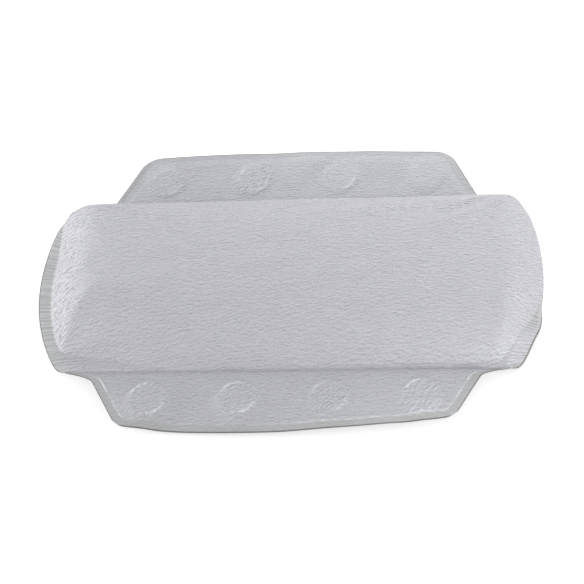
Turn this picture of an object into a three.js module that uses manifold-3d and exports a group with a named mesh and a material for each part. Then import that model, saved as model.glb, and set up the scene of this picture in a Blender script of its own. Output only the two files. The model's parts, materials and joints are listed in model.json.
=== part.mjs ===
// Bath pillow: a foam slab welded between two vinyl plies, with a flap along each long side that carries
// four suction cups. Millimetres, +Z up. The pillow lies on its back: the rims of the cups and the back of
// the pillow are at z = 0, X runs along the pillow and +Y points to the upper flap.
import * as THREE from "three";
import { mergeVertices } from "three/addons/utils/BufferGeometryUtils.js";
import Module from "manifold-3d";

const wasm = await Module();
wasm.setup();

// Pillow body
const PILLOW_LENGTH = 400; // over the welded rims of the two ends
const PILLOW_WIDTH = 154; // from fold line to fold line
const UPPER_BOW = 16.5; // how far each end bows out past its upper corner
const LOWER_BOW = 22; // the same past its lower corner
const UPPER_CORNER = 18; // radius of the welded outline's upper corners
const LOWER_CORNER = 7; // the same for its lower corners
const FOAM_CORNER = 24; // corner radius of the foam slab
const END_RIM = 12; // flat weld beyond the foam at the ends
const SIDE_RIM = 2.5; // flat weld beside the foam at the fold lines
const FRONT_RISE = 34; // weld plane to the shoulder of the front face
const FRONT_CROWN = 2.5; // further rise from the shoulder to the middle of the face
const END_SLOPE = 48; // plan width of the slope at each end
const UPPER_SLOPE = 27; // plan width of the slope along the upper fold
const LOWER_FACE = 6; // level face below the pillow's middle line, where the long lower slope starts
const BACK_SLOPE = 24; // plan width of the slope round the back

// Shape of the slopes
const END_FULLNESS = -0.45; // section of a slope, from -1 for a soft one to 1 for a quarter of an ellipse
const UPPER_FULLNESS = 1;
const LOWER_FULLNESS = -0.75;
const BACK_FULLNESS = 0.5;
const UPPER_HIP = 4; // how sharp the edge is where two slopes meet, from 2 for round
const LOWER_HIP = 7;

// Vinyl
const VINYL = 0.5; // thickness of one ply
const PLY_GAP = 0.2; // between the two welded plies
const CLEARANCE = 0.3; // between parts that move or fit on each other

// Flaps
const UPPER_ROOT_WIDTH = 296; // upper flap along its fold line
const UPPER_TIP_WIDTH = 242; // upper flap between its tip corners
const LOWER_ROOT_WIDTH = 308; // lower flap along its fold line
const LOWER_TIP_WIDTH = 250; // lower flap between its tip corners
const FLAP_DEPTH = 52; // fold line to the middle of the tip edge
const FLAP_TIP_BOW = 4; // how far the tip edge bows out past its corners
const FLAP_CORNER = 6; // length of edge that each tip corner rounds off

// Suction cups
const CUPS_PER_FLAP = 4;
const CUP_PITCH = 70; // cup to cup along a flap
const CUP_ROW = 25; // fold line to the row of cups
const CUP_RADIUS = 15; // outside of the rim
const CUP_HEIGHT = 10; // rim to the shoulder under the back ply
const CUP_LAND = 1.8; // flat width of the sealing rim
const CUP_LIP = 0.9; // thickness of the bell at the rim
const CUP_HOLLOW = 6.3; // depth of the bell's hollow
const HOLLOW_FULLNESS = 9.5; // radius out to which the hollow's roof keeps close to level
const BELL_FULLNESS = 11.9; // the same for the outside of the bell
const CUP_SHOULDER = 5.5; // radius of the shoulder on top of the bell
const CUP_SHOULDER_HEIGHT = 1.6; // straight wall under the shoulder
const NECK_RADIUS = 4;
const HEAD_RADIUS = 12.5; // button head between the plies
const HEAD_THICKNESS = 1.6;
const HEAD_ROUND = 0.5; // round on the head's upper edge

// Levels that follow from the sizes above
const BACK_PLY_LOW = CUP_HEIGHT + CLEARANCE;
const BACK_PLY_HIGH = BACK_PLY_LOW + VINYL;
const FRONT_PLY_LOW = BACK_PLY_HIGH + PLY_GAP;
const FRONT_PLY_HIGH = FRONT_PLY_LOW + VINYL;
const FOLD_LEVEL = (BACK_PLY_LOW + FRONT_PLY_HIGH) / 2;
const FOLD_Y = PILLOW_WIDTH / 2;
const HEAD_LOW = BACK_PLY_HIGH + CLEARANCE;
const HEAD_HIGH = HEAD_LOW + HEAD_THICKNESS;

// The folded stack turns inside a circle of half its thickness, so the body stops clear of that circle.
const FOLD_GAP = (FRONT_PLY_HIGH - BACK_PLY_LOW) / 2 + CLEARANCE;

// Steps of the grids over the body, from an edge to the middle.
const END_RIM_STEPS = 3;
const SIDE_RIM_STEPS = 1;
const SLOPE_STEPS = 7;
const FACE_STEPS = 3;

// Roundness of turned and punched shapes
const CUP_SIDES = 20;
const CUP_CURVE_STEPS = 4;
const ROUND_STEPS = 2;
const BLISTER_SIDES = 28;
const FLAP_CURVE_STEPS = 10;

const EMBOSSED_VINYL = { color: 0xc0c1c6, roughness: 0.55, metalness: 0 };
const PLAIN_VINYL = { color: 0xb9babf, roughness: 0.5, metalness: 0 };
const FOAM = { color: 0xe6e3d6, roughness: 0.95, metalness: 0 };
const CUP_PVC = { color: 0xd3d6da, roughness: 0.25, metalness: 0 };

const halfLength = PILLOW_LENGTH / 2;
const halfWidth = FOLD_Y - FOLD_GAP;
const lowerSlope = halfWidth - SIDE_RIM - LOWER_FACE;
const FOAM_INSET = VINYL + CLEARANCE;

const frontSlopes = {
  end: { width: END_SLOPE, fullness: END_FULLNESS },
  upper: { width: UPPER_SLOPE, fullness: UPPER_FULLNESS },
  lower: { width: lowerSlope, fullness: LOWER_FULLNESS },
};
const backSlope = { width: BACK_SLOPE, fullness: BACK_FULLNESS };
const backSlopes = { end: backSlope, upper: backSlope, lower: backSlope };

// Height up a slope of height 1: a cubic that eases into the shoulder at fullness 0, a quarter ellipse at 1,
// and a quartic that leaves its foot softly too at -1.
function slopeHeight(share, fullness) {
  const left = 1 - share;
  const eased = 1 - left ** 3;
  const full = Math.sqrt(1 - left ** 2);
  const soft = 1 - left ** 3 * (1 + 3 * share);
  return fullness > 0 ? eased + fullness * (full - eased) : eased + fullness * (eased - soft);
}

// Distances from an edge to the middle: over the rim, up a slope with short steps at its foot, and over the
// face.
function stations(half, rim, rimSteps, slope) {
  const over = Array.from({ length: rimSteps }, (_, i) => (rim * i) / rimSteps);
  const up = Array.from({ length: SLOPE_STEPS + 1 }, (_, i) => {
    return rim + slope * (1 - Math.cos((i / SLOPE_STEPS) * (Math.PI / 2)));
  });
  const face = half - rim - slope;
  const level = Array.from({ length: FACE_STEPS }, (_, i) => rim + slope + (face * (i + 1)) / FACE_STEPS);
  return [...over, ...up, ...level];
}

// The stations from one edge to the middle and on to the other edge, each with the side that it is on.
function acrossBody(first, second) {
  const back = second.slice(0, -1).reverse();
  return [...first.map((near) => ({ near, sign: -1 })), ...back.map((near) => ({ near, sign: 1 }))];
}

// Distances from two edges, pulled in so that the corner's square of side radius becomes a quarter disc.
function roundCorner(nearEnd, nearSide, radius) {
  const end = Math.max(0, 1 - nearEnd / radius);
  const side = Math.max(0, 1 - nearSide / radius);
  return {
    inEnd: nearEnd + radius * end * (1 - Math.sqrt(1 - side ** 2 / 2)),
    inSide: nearSide + radius * side * (1 - Math.sqrt(1 - end ** 2 / 2)),
  };
}

// How far an end has fallen back from its furthest place at a distance y from the middle, along an arc.
function sag(y) {
  const bow = y > 0 ? UPPER_BOW : LOWER_BOW;
  const radius = (halfWidth ** 2 + bow ** 2) / (2 * bow);
  return radius - Math.sqrt(radius ** 2 - y ** 2);
}

// Plan of a sheet over the body: rows along X, from the lower side to the upper. Each point has its
// distances from the foot of the slopes and its share of the crown.
function bodyPlan({ reach, rim, rimSteps, upperCorner, lowerCorner }) {
  const ends = stations(reach.x, rim.x, rimSteps.x, END_SLOPE);
  const lower = stations(reach.y, rim.y, rimSteps.y, lowerSlope);
  const upper = stations(reach.y, rim.y, rimSteps.y, UPPER_SLOPE);
  const planPoint = (column, row) => {
    const corner = row.sign > 0 ? upperCorner : lowerCorner;
    const { inEnd, inSide } = roundCorner(column.near, row.near, corner);
    const y = row.sign * (reach.y - inSide);
    return {
      x: column.sign * (reach.x - inEnd - sag(y) * (1 - inEnd / reach.x)),
      y,
      isUpper: row.sign > 0,
      fromEnd: column.near - rim.x,
      fromSide: row.near - rim.y,
      crown: (1 - (1 - column.near / reach.x) ** 2) * (1 - (1 - row.near / reach.y) ** 2),
    };
  };
  const columns = acrossBody(ends, ends);
  return acrossBody(lower, upper).map((row) => columns.map((column) => planPoint(column, row)));
}

const coverPlan = bodyPlan({
  reach: new THREE.Vector2(halfLength, halfWidth),
  rim: new THREE.Vector2(END_RIM, SIDE_RIM),
  rimSteps: new THREE.Vector2(END_RIM_STEPS, SIDE_RIM_STEPS),
  upperCorner: UPPER_CORNER,
  lowerCorner: LOWER_CORNER,
});
const foamPlan = bodyPlan({
  reach: new THREE.Vector2(halfLength - END_RIM - FOAM_INSET, halfWidth - SIDE_RIM - FOAM_INSET),
  rim: new THREE.Vector2(0, 0),
  rimSteps: new THREE.Vector2(0, 0),
  upperCorner: FOAM_CORNER,
  lowerCorner: FOAM_CORNER,
});

// Share of the full height at a point of a plan: the lower of two slopes, with a soft hip between them. The
// inset moves the slopes inwards, as for the inside of a ply.
function liftAt(point, slopes, inset) {
  const fall = (slope, from) => {
    const share = THREE.MathUtils.clamp((from - inset) / slope.width, 0, 1);
    return 1 - slopeHeight(share, slope.fullness);
  };
  const hip = point.isUpper ? UPPER_HIP : LOWER_HIP;
  const side = point.isUpper ? slopes.upper : slopes.lower;
  const fallen = fall(slopes.end, point.fromEnd) ** hip + fall(side, point.fromSide) ** hip;
  return 1 - Math.min(1, fallen ** (1 / hip));
}

// A plan raised to a surface that starts at the base and goes up by the rise, and further by the crown.
function raised(plan, slopes, { inset = 0, base, rise, crown = 0 }) {
  const height = (point) => base + liftAt(point, slopes, inset) * (rise + crown * point.crown);
  return plan.map((row) => row.map((point) => new THREE.Vector3(point.x, point.y, height(point))));
}

// Numbers of a grid's points once round its edge.
function edgeLoop(rows, columns) {
  const at = (row, column) => row * columns + column;
  const along = Array.from({ length: columns - 1 }, (_, i) => i);
  const up = Array.from({ length: rows - 1 }, (_, i) => i);
  return [
    ...along.map((i) => at(0, i)),
    ...up.map((i) => at(i, columns - 1)),
    ...along.map((i) => at(rows - 1, columns - 1 - i)),
    ...up.map((i) => at(rows - 1 - i, 0)),
  ];
}

// A closed body between two surfaces on one plan, joined by a wall round the edge unless they meet there.
function between(over, under, { walled }) {
  const rows = over.length;
  const columns = over[0].length;
  const count = rows * columns;
  const triangles = [];
  for (let row = 0; row + 1 < rows; row += 1) {
    for (let column = 0; column + 1 < columns; column += 1) {
      const low = row * columns + column;
      const high = low + columns;
      triangles.push(low, low + 1, high + 1, low, high + 1, high);
      triangles.push(count + low, count + high + 1, count + low + 1);
      triangles.push(count + low, count + high, count + high + 1);
    }
  }
  if (walled) {
    const loop = edgeLoop(rows, columns);
    loop.forEach((first, i) => {
      const next = loop[(i + 1) % loop.length];
      triangles.push(first, count + first, count + next, first, count + next, next);
    });
  }
  const geometry = new THREE.BufferGeometry().setFromPoints([...over.flat(), ...under.flat()]);
  geometry.setIndex(triangles);
  const closed = mergeVertices(geometry);
  closed.computeVertexNormals();
  return closed;
}

// Front ply over the foam, with its welded rim.
function frontCover() {
  const rises = { rise: FRONT_RISE, crown: FRONT_CROWN };
  const outer = raised(coverPlan, frontSlopes, { base: FRONT_PLY_HIGH, ...rises });
  const inner = raised(coverPlan, frontSlopes, { inset: VINYL, base: FRONT_PLY_LOW, ...rises });
  return between(outer, inner, { walled: true });
}

// Back ply behind the foam: a shallow tray whose flat rear face is at z = 0.
function backCover() {
  const fall = VINYL - BACK_PLY_HIGH;
  const inner = raised(coverPlan, backSlopes, { inset: VINYL, base: BACK_PLY_HIGH, rise: fall });
  const outer = raised(coverPlan, backSlopes, { base: BACK_PLY_LOW, rise: -BACK_PLY_LOW });
  return between(inner, outer, { walled: true });
}

// Foam slab that fills the space between the plies, a clearance away from both.
function foamCore() {
  const rise = FRONT_PLY_HIGH + FRONT_RISE - FOAM_INSET - FOLD_LEVEL;
  const front = raised(foamPlan, frontSlopes, { base: FOLD_LEVEL, rise, crown: FRONT_CROWN });
  const back = raised(foamPlan, backSlopes, { base: FOLD_LEVEL, rise: FOAM_INSET - FOLD_LEVEL });
  return between(front, back, { walled: false });
}

// Flap outline, from the fold line outwards along +Y: straight root, slanted sides and a bowed tip edge.
function flapShape({ rootWidth, tipWidth }) {
  const root = rootWidth / 2;
  const tip = tipWidth / 2;
  const cornerY = FLAP_DEPTH - FLAP_TIP_BOW;
  const roundY = tipEdge(1 - FLAP_CORNER / tip);
  const side = new THREE.Vector2(tip - root, cornerY).setLength(FLAP_CORNER);
  const shape = new THREE.Shape();
  shape.moveTo(-root, 0);
  shape.lineTo(root, 0);
  shape.lineTo(tip - side.x, cornerY - side.y);
  shape.quadraticCurveTo(tip, cornerY, tip - FLAP_CORNER, roundY);
  shape.quadraticCurveTo(0, 2 * FLAP_DEPTH - roundY, FLAP_CORNER - tip, roundY);
  shape.quadraticCurveTo(-tip, cornerY, side.x - tip, cornerY - side.y);
  shape.closePath();
  return shape;
}

// Distance of the bowed tip edge from the fold line, a parabola through both tip corners, at a share of the
// way from its middle to a corner.
function tipEdge(share) {
  return FLAP_DEPTH - FLAP_TIP_BOW * share ** 2;
}

function cupPlaces() {
  return Array.from(
    { length: CUPS_PER_FLAP },
    (_, i) => new THREE.Vector2((i - (CUPS_PER_FLAP - 1) / 2) * CUP_PITCH, CUP_ROW),
  );
}

function extrudeBetween(shape, low, high) {
  const geometry = new THREE.ExtrudeGeometry(shape, {
    depth: high - low,
    bevelEnabled: false,
    curveSegments: FLAP_CURVE_STEPS,
  });
  return geometry.translate(0, 0, low);
}

function disc(place, radius, low, high) {
  const geometry = new THREE.CylinderGeometry(radius, radius, high - low, BLISTER_SIDES);
  return geometry.rotateX(Math.PI / 2).translate(place.x, place.y, (low + high) / 2);
}

// A closed geometry as a solid that can be joined and cut.
function solid(geometry) {
  const bare = geometry.clone();
  bare.deleteAttribute("normal");
  bare.deleteAttribute("uv");
  const merged = mergeVertices(bare);
  return new wasm.Manifold(
    new wasm.Mesh({
      numProp: 3,
      vertProperties: new Float32Array(merged.attributes.position.array),
      triVerts: new Uint32Array(merged.index.array),
    }),
  );
}

function geometryOf(body) {
  const mesh = body.getMesh();
  const geometry = new THREE.BufferGeometry();
  geometry.setAttribute("position", new THREE.BufferAttribute(mesh.vertProperties, mesh.numProp));
  geometry.setIndex(new THREE.BufferAttribute(mesh.triVerts, 1));
  geometry.computeVertexNormals();
  return geometry;
}

// Front ply of a flap: a flat sheet raised in a round blister over each cup's head.
function flapFrontPly(widths) {
  const roof = HEAD_HIGH + CLEARANCE;
  const pocket = HEAD_RADIUS + CLEARANCE;
  let ply = solid(extrudeBetween(flapShape(widths), FRONT_PLY_LOW, FRONT_PLY_HIGH));
  for (const place of cupPlaces()) {
    ply = ply.add(solid(disc(place, pocket + VINYL, FRONT_PLY_LOW, roof + VINYL)));
    ply = ply.subtract(solid(disc(place, pocket, BACK_PLY_HIGH, roof)));
  }
  return geometryOf(ply);
}

// Back ply of a flap: a flat sheet with a punched hole for each cup's neck.
function flapBackPly(widths) {
  const shape = flapShape(widths);
  for (const place of cupPlaces()) {
    const hole = new THREE.Path();
    hole.absarc(place.x, place.y, NECK_RADIUS + CLEARANCE, 0, Math.PI * 2, true);
    shape.holes.push(hole);
  }
  return extrudeBetween(shape, BACK_PLY_LOW, BACK_PLY_HIGH);
}

// Suction cup, turned about its own axis: hollow bell, sealing rim, shoulder, neck and button head.
function suctionCup() {
  const hollow = new THREE.QuadraticBezierCurve(
    new THREE.Vector2(0, CUP_HOLLOW),
    new THREE.Vector2(HOLLOW_FULLNESS, CUP_HOLLOW),
    new THREE.Vector2(CUP_RADIUS - CUP_LAND, 0),
  );
  const wallTop = CUP_HEIGHT - CUP_SHOULDER_HEIGHT;
  const bell = new THREE.QuadraticBezierCurve(
    new THREE.Vector2(CUP_RADIUS, CUP_LIP),
    new THREE.Vector2(BELL_FULLNESS, wallTop),
    new THREE.Vector2(CUP_SHOULDER, wallTop),
  );
  const headRound = new THREE.EllipseCurve(
    HEAD_RADIUS - HEAD_ROUND,
    HEAD_HIGH - HEAD_ROUND,
    HEAD_ROUND,
    HEAD_ROUND,
    0,
    Math.PI / 2,
  );
  const profile = [
    ...hollow.getPoints(CUP_CURVE_STEPS),
    new THREE.Vector2(CUP_RADIUS, 0),
    ...bell.getPoints(CUP_CURVE_STEPS),
    new THREE.Vector2(CUP_SHOULDER, CUP_HEIGHT),
    new THREE.Vector2(NECK_RADIUS, CUP_HEIGHT),
    new THREE.Vector2(NECK_RADIUS, HEAD_LOW),
    new THREE.Vector2(HEAD_RADIUS, HEAD_LOW),
    ...headRound.getPoints(ROUND_STEPS),
    new THREE.Vector2(0, HEAD_HIGH),
  ];
  return new THREE.LatheGeometry(profile, CUP_SIDES).rotateX(Math.PI / 2);
}

function piece(name, geometry, finish) {
  const mesh = new THREE.Mesh(geometry, new THREE.MeshStandardMaterial(finish));
  mesh.name = name;
  return mesh;
}

const pillow = new THREE.Group();
pillow.name = "bath_pillow";
pillow.add(
  piece("front_cover", frontCover(), EMBOSSED_VINYL),
  piece("foam_core", foamCore(), FOAM),
  piece("back_cover", backCover(), PLAIN_VINYL),
);

// Each flap is a group at its fold line. The lower one is turned half round.
const flaps = [
  { side: "upper", turn: 0, rootWidth: UPPER_ROOT_WIDTH, tipWidth: UPPER_TIP_WIDTH },
  { side: "lower", turn: Math.PI, rootWidth: LOWER_ROOT_WIDTH, tipWidth: LOWER_TIP_WIDTH },
];
for (const { side, turn, ...widths } of flaps) {
  const flap = new THREE.Group();
  flap.rotation.z = turn;
  flap.position.set(0, turn === 0 ? FOLD_Y : -FOLD_Y, 0);
  flap.add(
    piece(side + "_flap_front_ply", flapFrontPly(widths), EMBOSSED_VINYL),
    piece(side + "_flap_back_ply", flapBackPly(widths), PLAIN_VINYL),
  );
  cupPlaces().forEach((place, i) => {
    const number = turn === 0 ? i + 1 : CUPS_PER_FLAP - i;
    const cup = piece("suction_cup_" + side + "_" + number, suctionCup(), CUP_PVC);
    cup.position.set(place.x, place.y, 0);
    flap.add(cup);
  });
  pillow.add(flap);
}

export default pillow;
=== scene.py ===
"""Bath pillow: two vinyl plies welded round a foam slab, with a flap of suction cups along each long side.

Every piece is a surface worked out with numpy, in metres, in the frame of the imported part: X runs along the
pillow, +Y points to the upper flap and +Z out of the front face.
"""

import json
import math

import bpy
import numpy as np
from bpy.props import FloatProperty, FloatVectorProperty, PointerProperty
from mathutils import Matrix, Vector


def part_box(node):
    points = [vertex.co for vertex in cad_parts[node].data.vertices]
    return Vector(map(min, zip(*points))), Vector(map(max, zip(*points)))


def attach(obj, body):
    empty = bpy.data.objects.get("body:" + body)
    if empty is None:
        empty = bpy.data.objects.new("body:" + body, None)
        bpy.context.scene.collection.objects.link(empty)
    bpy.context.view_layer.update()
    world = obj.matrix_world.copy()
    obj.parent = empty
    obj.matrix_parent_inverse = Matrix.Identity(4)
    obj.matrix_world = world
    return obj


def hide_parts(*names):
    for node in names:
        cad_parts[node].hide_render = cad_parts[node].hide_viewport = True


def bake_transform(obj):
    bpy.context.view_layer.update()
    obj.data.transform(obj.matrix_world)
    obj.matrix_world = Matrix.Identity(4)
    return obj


bl_info = {
    "name": "Bath Pillow",
    "version": (1, 0, 0),
    "blender": (4, 5, 0),
    "location": "View3D > Sidebar > Bath Pillow",
    "description": "Builds the plies, foam and suction cups of a bath pillow, and a studio to show it in",
    "category": "Object",
}

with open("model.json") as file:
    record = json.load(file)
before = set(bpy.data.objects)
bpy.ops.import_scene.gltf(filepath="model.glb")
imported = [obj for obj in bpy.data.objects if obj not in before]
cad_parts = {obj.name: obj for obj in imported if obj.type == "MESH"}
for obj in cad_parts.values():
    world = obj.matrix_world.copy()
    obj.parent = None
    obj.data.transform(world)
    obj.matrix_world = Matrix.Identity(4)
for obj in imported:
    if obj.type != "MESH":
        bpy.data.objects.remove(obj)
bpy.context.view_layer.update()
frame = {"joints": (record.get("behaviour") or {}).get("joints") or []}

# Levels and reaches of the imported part
FRONT_LOW, FRONT_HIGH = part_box("front_cover")
BACK_LOW, BACK_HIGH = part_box("back_cover")
FOAM_LOW, FOAM_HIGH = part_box("foam_core")
PLY_LOW, PLY_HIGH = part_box("upper_flap_back_ply")
VINYL = PLY_HIGH.z - PLY_LOW.z
WELD_LEVEL = FRONT_LOW.z + VINYL
HALF_LENGTH = FRONT_HIGH.x
HALF_WIDTH = FRONT_HIGH.y
JOINTS = {joint["name"]: joint for joint in frame["joints"]}
FOLD_Y = JOINTS["upper_flap_fold"]["pos_m"][1]
FOLD_LEVEL = JOINTS["upper_flap_fold"]["pos_m"][2]
FLAPS = {"upper": 1.0, "lower": -1.0}
CUPS_PER_FLAP = 4

# How finely the pieces are drawn: points from an edge of the body to its middle and over a whole flap, the
# step of the inner side, the steps up a slope, the sides of a cup and the steps of a curve in its profile
FRONT_COLUMNS, FRONT_ROWS, FRONT_SKIP = 153, 153, 4
BACK_COLUMNS, BACK_ROWS, BACK_SKIP = 101, 61, 2
FOAM_COLUMNS, FOAM_ROWS = 61, 33
FLAP_COLUMNS, FLAP_ROWS = 265, 69
SECTION_STEPS = 300
CUP_SIDES = 72
CURVE_STEPS = 18

# The cloth simulation of the front cover: its frames, its settings and the lift below which it is welded
SWELL_FRAMES = 20
SWELL_SETTINGS = {
    "quality": 6,
    "mass": 0.3,
    "tension_stiffness": 30.0,
    "compression_stiffness": 30.0,
    "shear_stiffness": 10.0,
    "bending_stiffness": 2.0,
    "use_pressure": True,
    "uniform_pressure_force": 4.0,
}
WELDED_LIFT = 0.01

# Where the body's form changes, each from the start of a change to its end: by height, from -1 at the lower
# fold to 1 at the upper one, or by length from the middle
RIGHT_TUCK = (-0.80, -0.13)
RIGHT_BULGE = (-0.72, -0.17)
RIGHT_DROOP = (0.20, -0.80)
RIGHT_FILL = (-0.40, -0.75)
RIGHT_HANG = (-0.60, -1.00)
LEFT_BULGE, LEFT_BULGE_LEAST = (0.35, 1.00), 0.15
HANG_LENGTHS = (0.145, 0.185)
FOOT_LENGTHS = (-0.10, -0.18)
FILLING_LENGTHS = (-0.02, 0.14)

# Difference in height, either way, over which one of two slopes takes over from the other
HIP_SOFTNESS = 0.125

# The filled lower right corner: its rise from the side, its highest place from the end, and where it ends
FILL_SIDE, FILL_PEAK, FILL_END = 0.014, 0.015, 0.065

# Lean of the emboss at the ends, and the step to which it is drawn out at the left end
LEFT_LEAN, LEFT_LEAN_GAIN, RIGHT_LEAN = 0.15, 0.25, 0.40
DRAWN_STEP = 0.2

# Emboss of the body, which sets both its bump and its painted light and shade: where it deepens along the
# upper slope and by how much, the lifts and the share of an end's slope where it is pulled tight, how tight
# at the right end, and how flat it is in a weld
UPPER_EMBOSS, UPPER_EMBOSS_GAIN = (0.45, 0.80), 0.5
PULL_LIFTS, PULL_FADE, RIGHT_PULL = (0.0, 0.2), (0.30, 0.80), 0.3
WELD_FLATNESS = 0.9

# Slow waves of the foam under a ply: how far a wave runs on, and wave to wave
WAVE_RUN, WAVE_PITCH = 0.11, 0.04

# Added to crinkles so that nearly all of them stay above 0
ONE_SIDED = 2.0

# Lines pressed across the end rims: how far they run, in pitches, how high their flat tops are, the lift up
# to which they reach on the left and on the right, where from the end they fade, the painted light and shade
# along them, light on their raised parts and dark between them, and the most of it, and the land along the
# cut that they leave free
PRESS_RUN, PRESS_TOP = 12.0, 1.1
RIM_LIFT, RIGHT_PRESS_LIFT = 0.12, 0.35
PRESS_FADE, PRESS_SHADING, PRESS_MOST = (0.020, 0.030), 1.6, 1.5
CUT_LAND = 0.003

# The smooth weld: height and half length of its stretch on the right rim, which is also painted darker as
# painted shade in the fold between the stuffing and the rim, how that sets in from the cut, the soft inner
# edge at the ends and at the sides, and the length over which it sets in beside a fold
RIGHT_WELD_HEIGHT, RIGHT_WELD_WIDTH, RIGHT_WELD_EDGE = -0.42, 0.17, (0.002, 0.005)
WELD_SOFTNESS, SIDE_WELD_FADE = 0.00075, 0.003
FREE_RISE = 0.004

# Weld and lie of a flap: soft corner of the weld, soft change from side to tip, ripples of the plies, and
# the distances from a cup within which it holds them
WELD_CORNER_SOFTNESS, TIP_SOFTNESS = 0.002, 0.004
RIPPLE_HEIGHT, RIPPLE_RUN, RIPPLE_PITCH = 0.0006, 0.05, 0.06
CUP_HOLD = (0.013, 0.026)

# Marks of a cup's head: the round's size and fall on each flap, in radii and edge widths, how much softer
# it falls between its beads, the bead, where it is turned to and how ragged it is, the puckers round it, and
# the crumpled ply on the head
HEAD_ROUNDS = {"upper": (0.9, 3.2), "lower": (1.0, 2.0)}
SOFT_FALL = 1.6
HEAD_BEAD_PLACE, HEAD_BEAD_WIDTH, HEAD_BEAD_HEIGHT = 0.0007, 0.0008, 0.0005
HEAD_BEAD_TURN, HEAD_BEAD_TURN_SPREAD = 2.4, 0.35
RAGGED_MEAN, RAGGED_SPREAD, RAGGED_RUN, RAGGED_PITCH = 0.85, 0.4, 0.05, 0.006
HEAD_PLEATS, PUCKER_WIDTH, PUCKER_HEIGHT = 15.0, 0.003, 0.0002
CRUMPLE_HEIGHT, CRUMPLE_RUN, CRUMPLE_PITCH = 0.00012, 0.006, 0.0042

# Weld of a flap: how smooth it looks, the step at its inner side, and its emboss and the gain inside it
WELD_LOOK = {"upper": 0.35, "lower": 0.8}
WELD_STEP, WELD_EMBOSS, FREE_EMBOSS = 0.0012, 0.65, 0.3

# Bead of that weld: its place and width, how it breaks off along the edge, where it sets in from the fold,
# its strength where it is faint, and the gain towards the right along the lower tip
WELD_BEAD_PLACE, WELD_BEAD_WIDTH = 0.0006, 0.0007
BREAK_MEAN, BREAK_SPREAD, BREAK_RUN, BREAK_PITCH = 0.6, 0.7, 0.03, 0.012
BEAD_START = 0.006
FAINT_BEAD, TIP_BEAD_GAIN, TIP_BEAD_LENGTHS = 0.25, 0.55, (-0.03, 0.03)

# Lines pressed along the upper flap's left side: place and strength of each, width and depth, where they
# set in along the flap and out from the fold
SIDE_LINES = ((0.0035, 1.0), (0.0090, 0.7))
SIDE_LINE_WIDTH, SIDE_LINE_DEPTH = 0.0006, 0.0003
SIDE_LINE_LENGTHS, SIDE_LINE_OUT = (-0.118, -0.126), (0.004, 0.010)

# Between the welds: how the front ply rises from the weld and from the fold, the crease along the fold, and
# what is added to a hole's radius, because only cells that lie wholly in it are left out
PUFF_RISE, PUFF_START = 0.006, 0.008
CREASE_PLACE, CREASE_WIDTH = 0.0004, 0.0011
HOLE_MARGIN = 0.0004

# Tones are counted in steps of a share of the colour, up to a number of steps either way. The fold is painted
# a step darker over its width, as painted shade in its crease
TONE_STEP, TONE_STEPS = 0.08, 8.0
# Painted light and shade: a painted highlight on each cup's head bead, a little painted light on the round
# over the head, and painted light and shade on its crumples
HEAD_BEAD_HIGHLIGHT, HEAD_ROUND_LIGHT, CRUMPLE_SHADING = 8.5, 0.3, 0.8
# Painted light and shade: a painted highlight on the flap weld's bead, painted shade in the pressed side
# lines, and painted shade in the fold between the stuffing and the right rim
WELD_BEAD_HIGHLIGHT, SIDE_LINE_SHADE, RIGHT_RIM_FOLD_SHADE = 6.0, -3.0, -2.0
FOLD_WIDTH = 0.0016

# Painted light that makes each flap paler towards its right end: its tone at the left end, how much paler it
# is at the right end, and where that sets in and ends
FLAP_PAINTED_LIGHT = {"upper": (0.0, 0.9, -0.105, 0.045), "lower": (-0.6, 0.6, 0.02, 0.10)}

# Textures: the range that a noise mostly keeps to and its tones, in the clouds and in the emboss's bands,
# where the tones are painted light and shade, light on the bands and dark between them, the make-up of those
# bands, where the painted shade of a cut edge shows, and the gloss of the welds, the cups and both vinyls
NOISE_RANGE, CLOUD_TONES, BAND_SHADING = (0.3, 0.7), (0.965, 1.0), (0.58, 1.50)
BAND_EVENNESS, BAND_GRAIN, GRAIN_SHARE, CLOUD_SCALE = 0.92, 2.2, 0.4, 60.0
CUT_SHADE_RANGE, WELD_POLISH, CUP_HAZE = (0.25, 0.55), 0.12, (0.16, 0.3)
FRONT_ROUGHNESS, BACK_ROUGHNESS, BACK_EMBOSS = 0.52, 0.46, 0.5
SHARP_EDGE = math.radians(55.0)

# Place and size of the studio's lamps, half the side of its floor, and the level the camera looks at
LAMPS = {
    "left": ((-1.57, -0.10, 0.36), 0.7),
    "right": ((0.38, 0.52, 0.31), 0.3),
    "upper": ((0.0, 1.29, 0.89), 0.6),
    "lower": ((0.52, -0.47, 0.22), 0.3),
}
FLOOR_REACH = 6.0
AIM_LEVEL = 0.010


def length(name, description, default):
    """A length property in metres."""
    return FloatProperty(name=name, description=description, default=default, unit="LENGTH", precision=5)


def angle(name, description, degrees):
    """An angle property, given in degrees."""
    return FloatProperty(name=name, description=description, default=math.radians(degrees), subtype="ANGLE")


def amount(name, description, default):
    """A plain number property."""
    return FloatProperty(name=name, description=description, default=default)


def colour(name, description, default):
    """A linear RGB colour property."""
    return FloatVectorProperty(
        name=name, description=description, default=default, subtype="COLOR", size=3, min=0.0, max=1.0
    )


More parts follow.
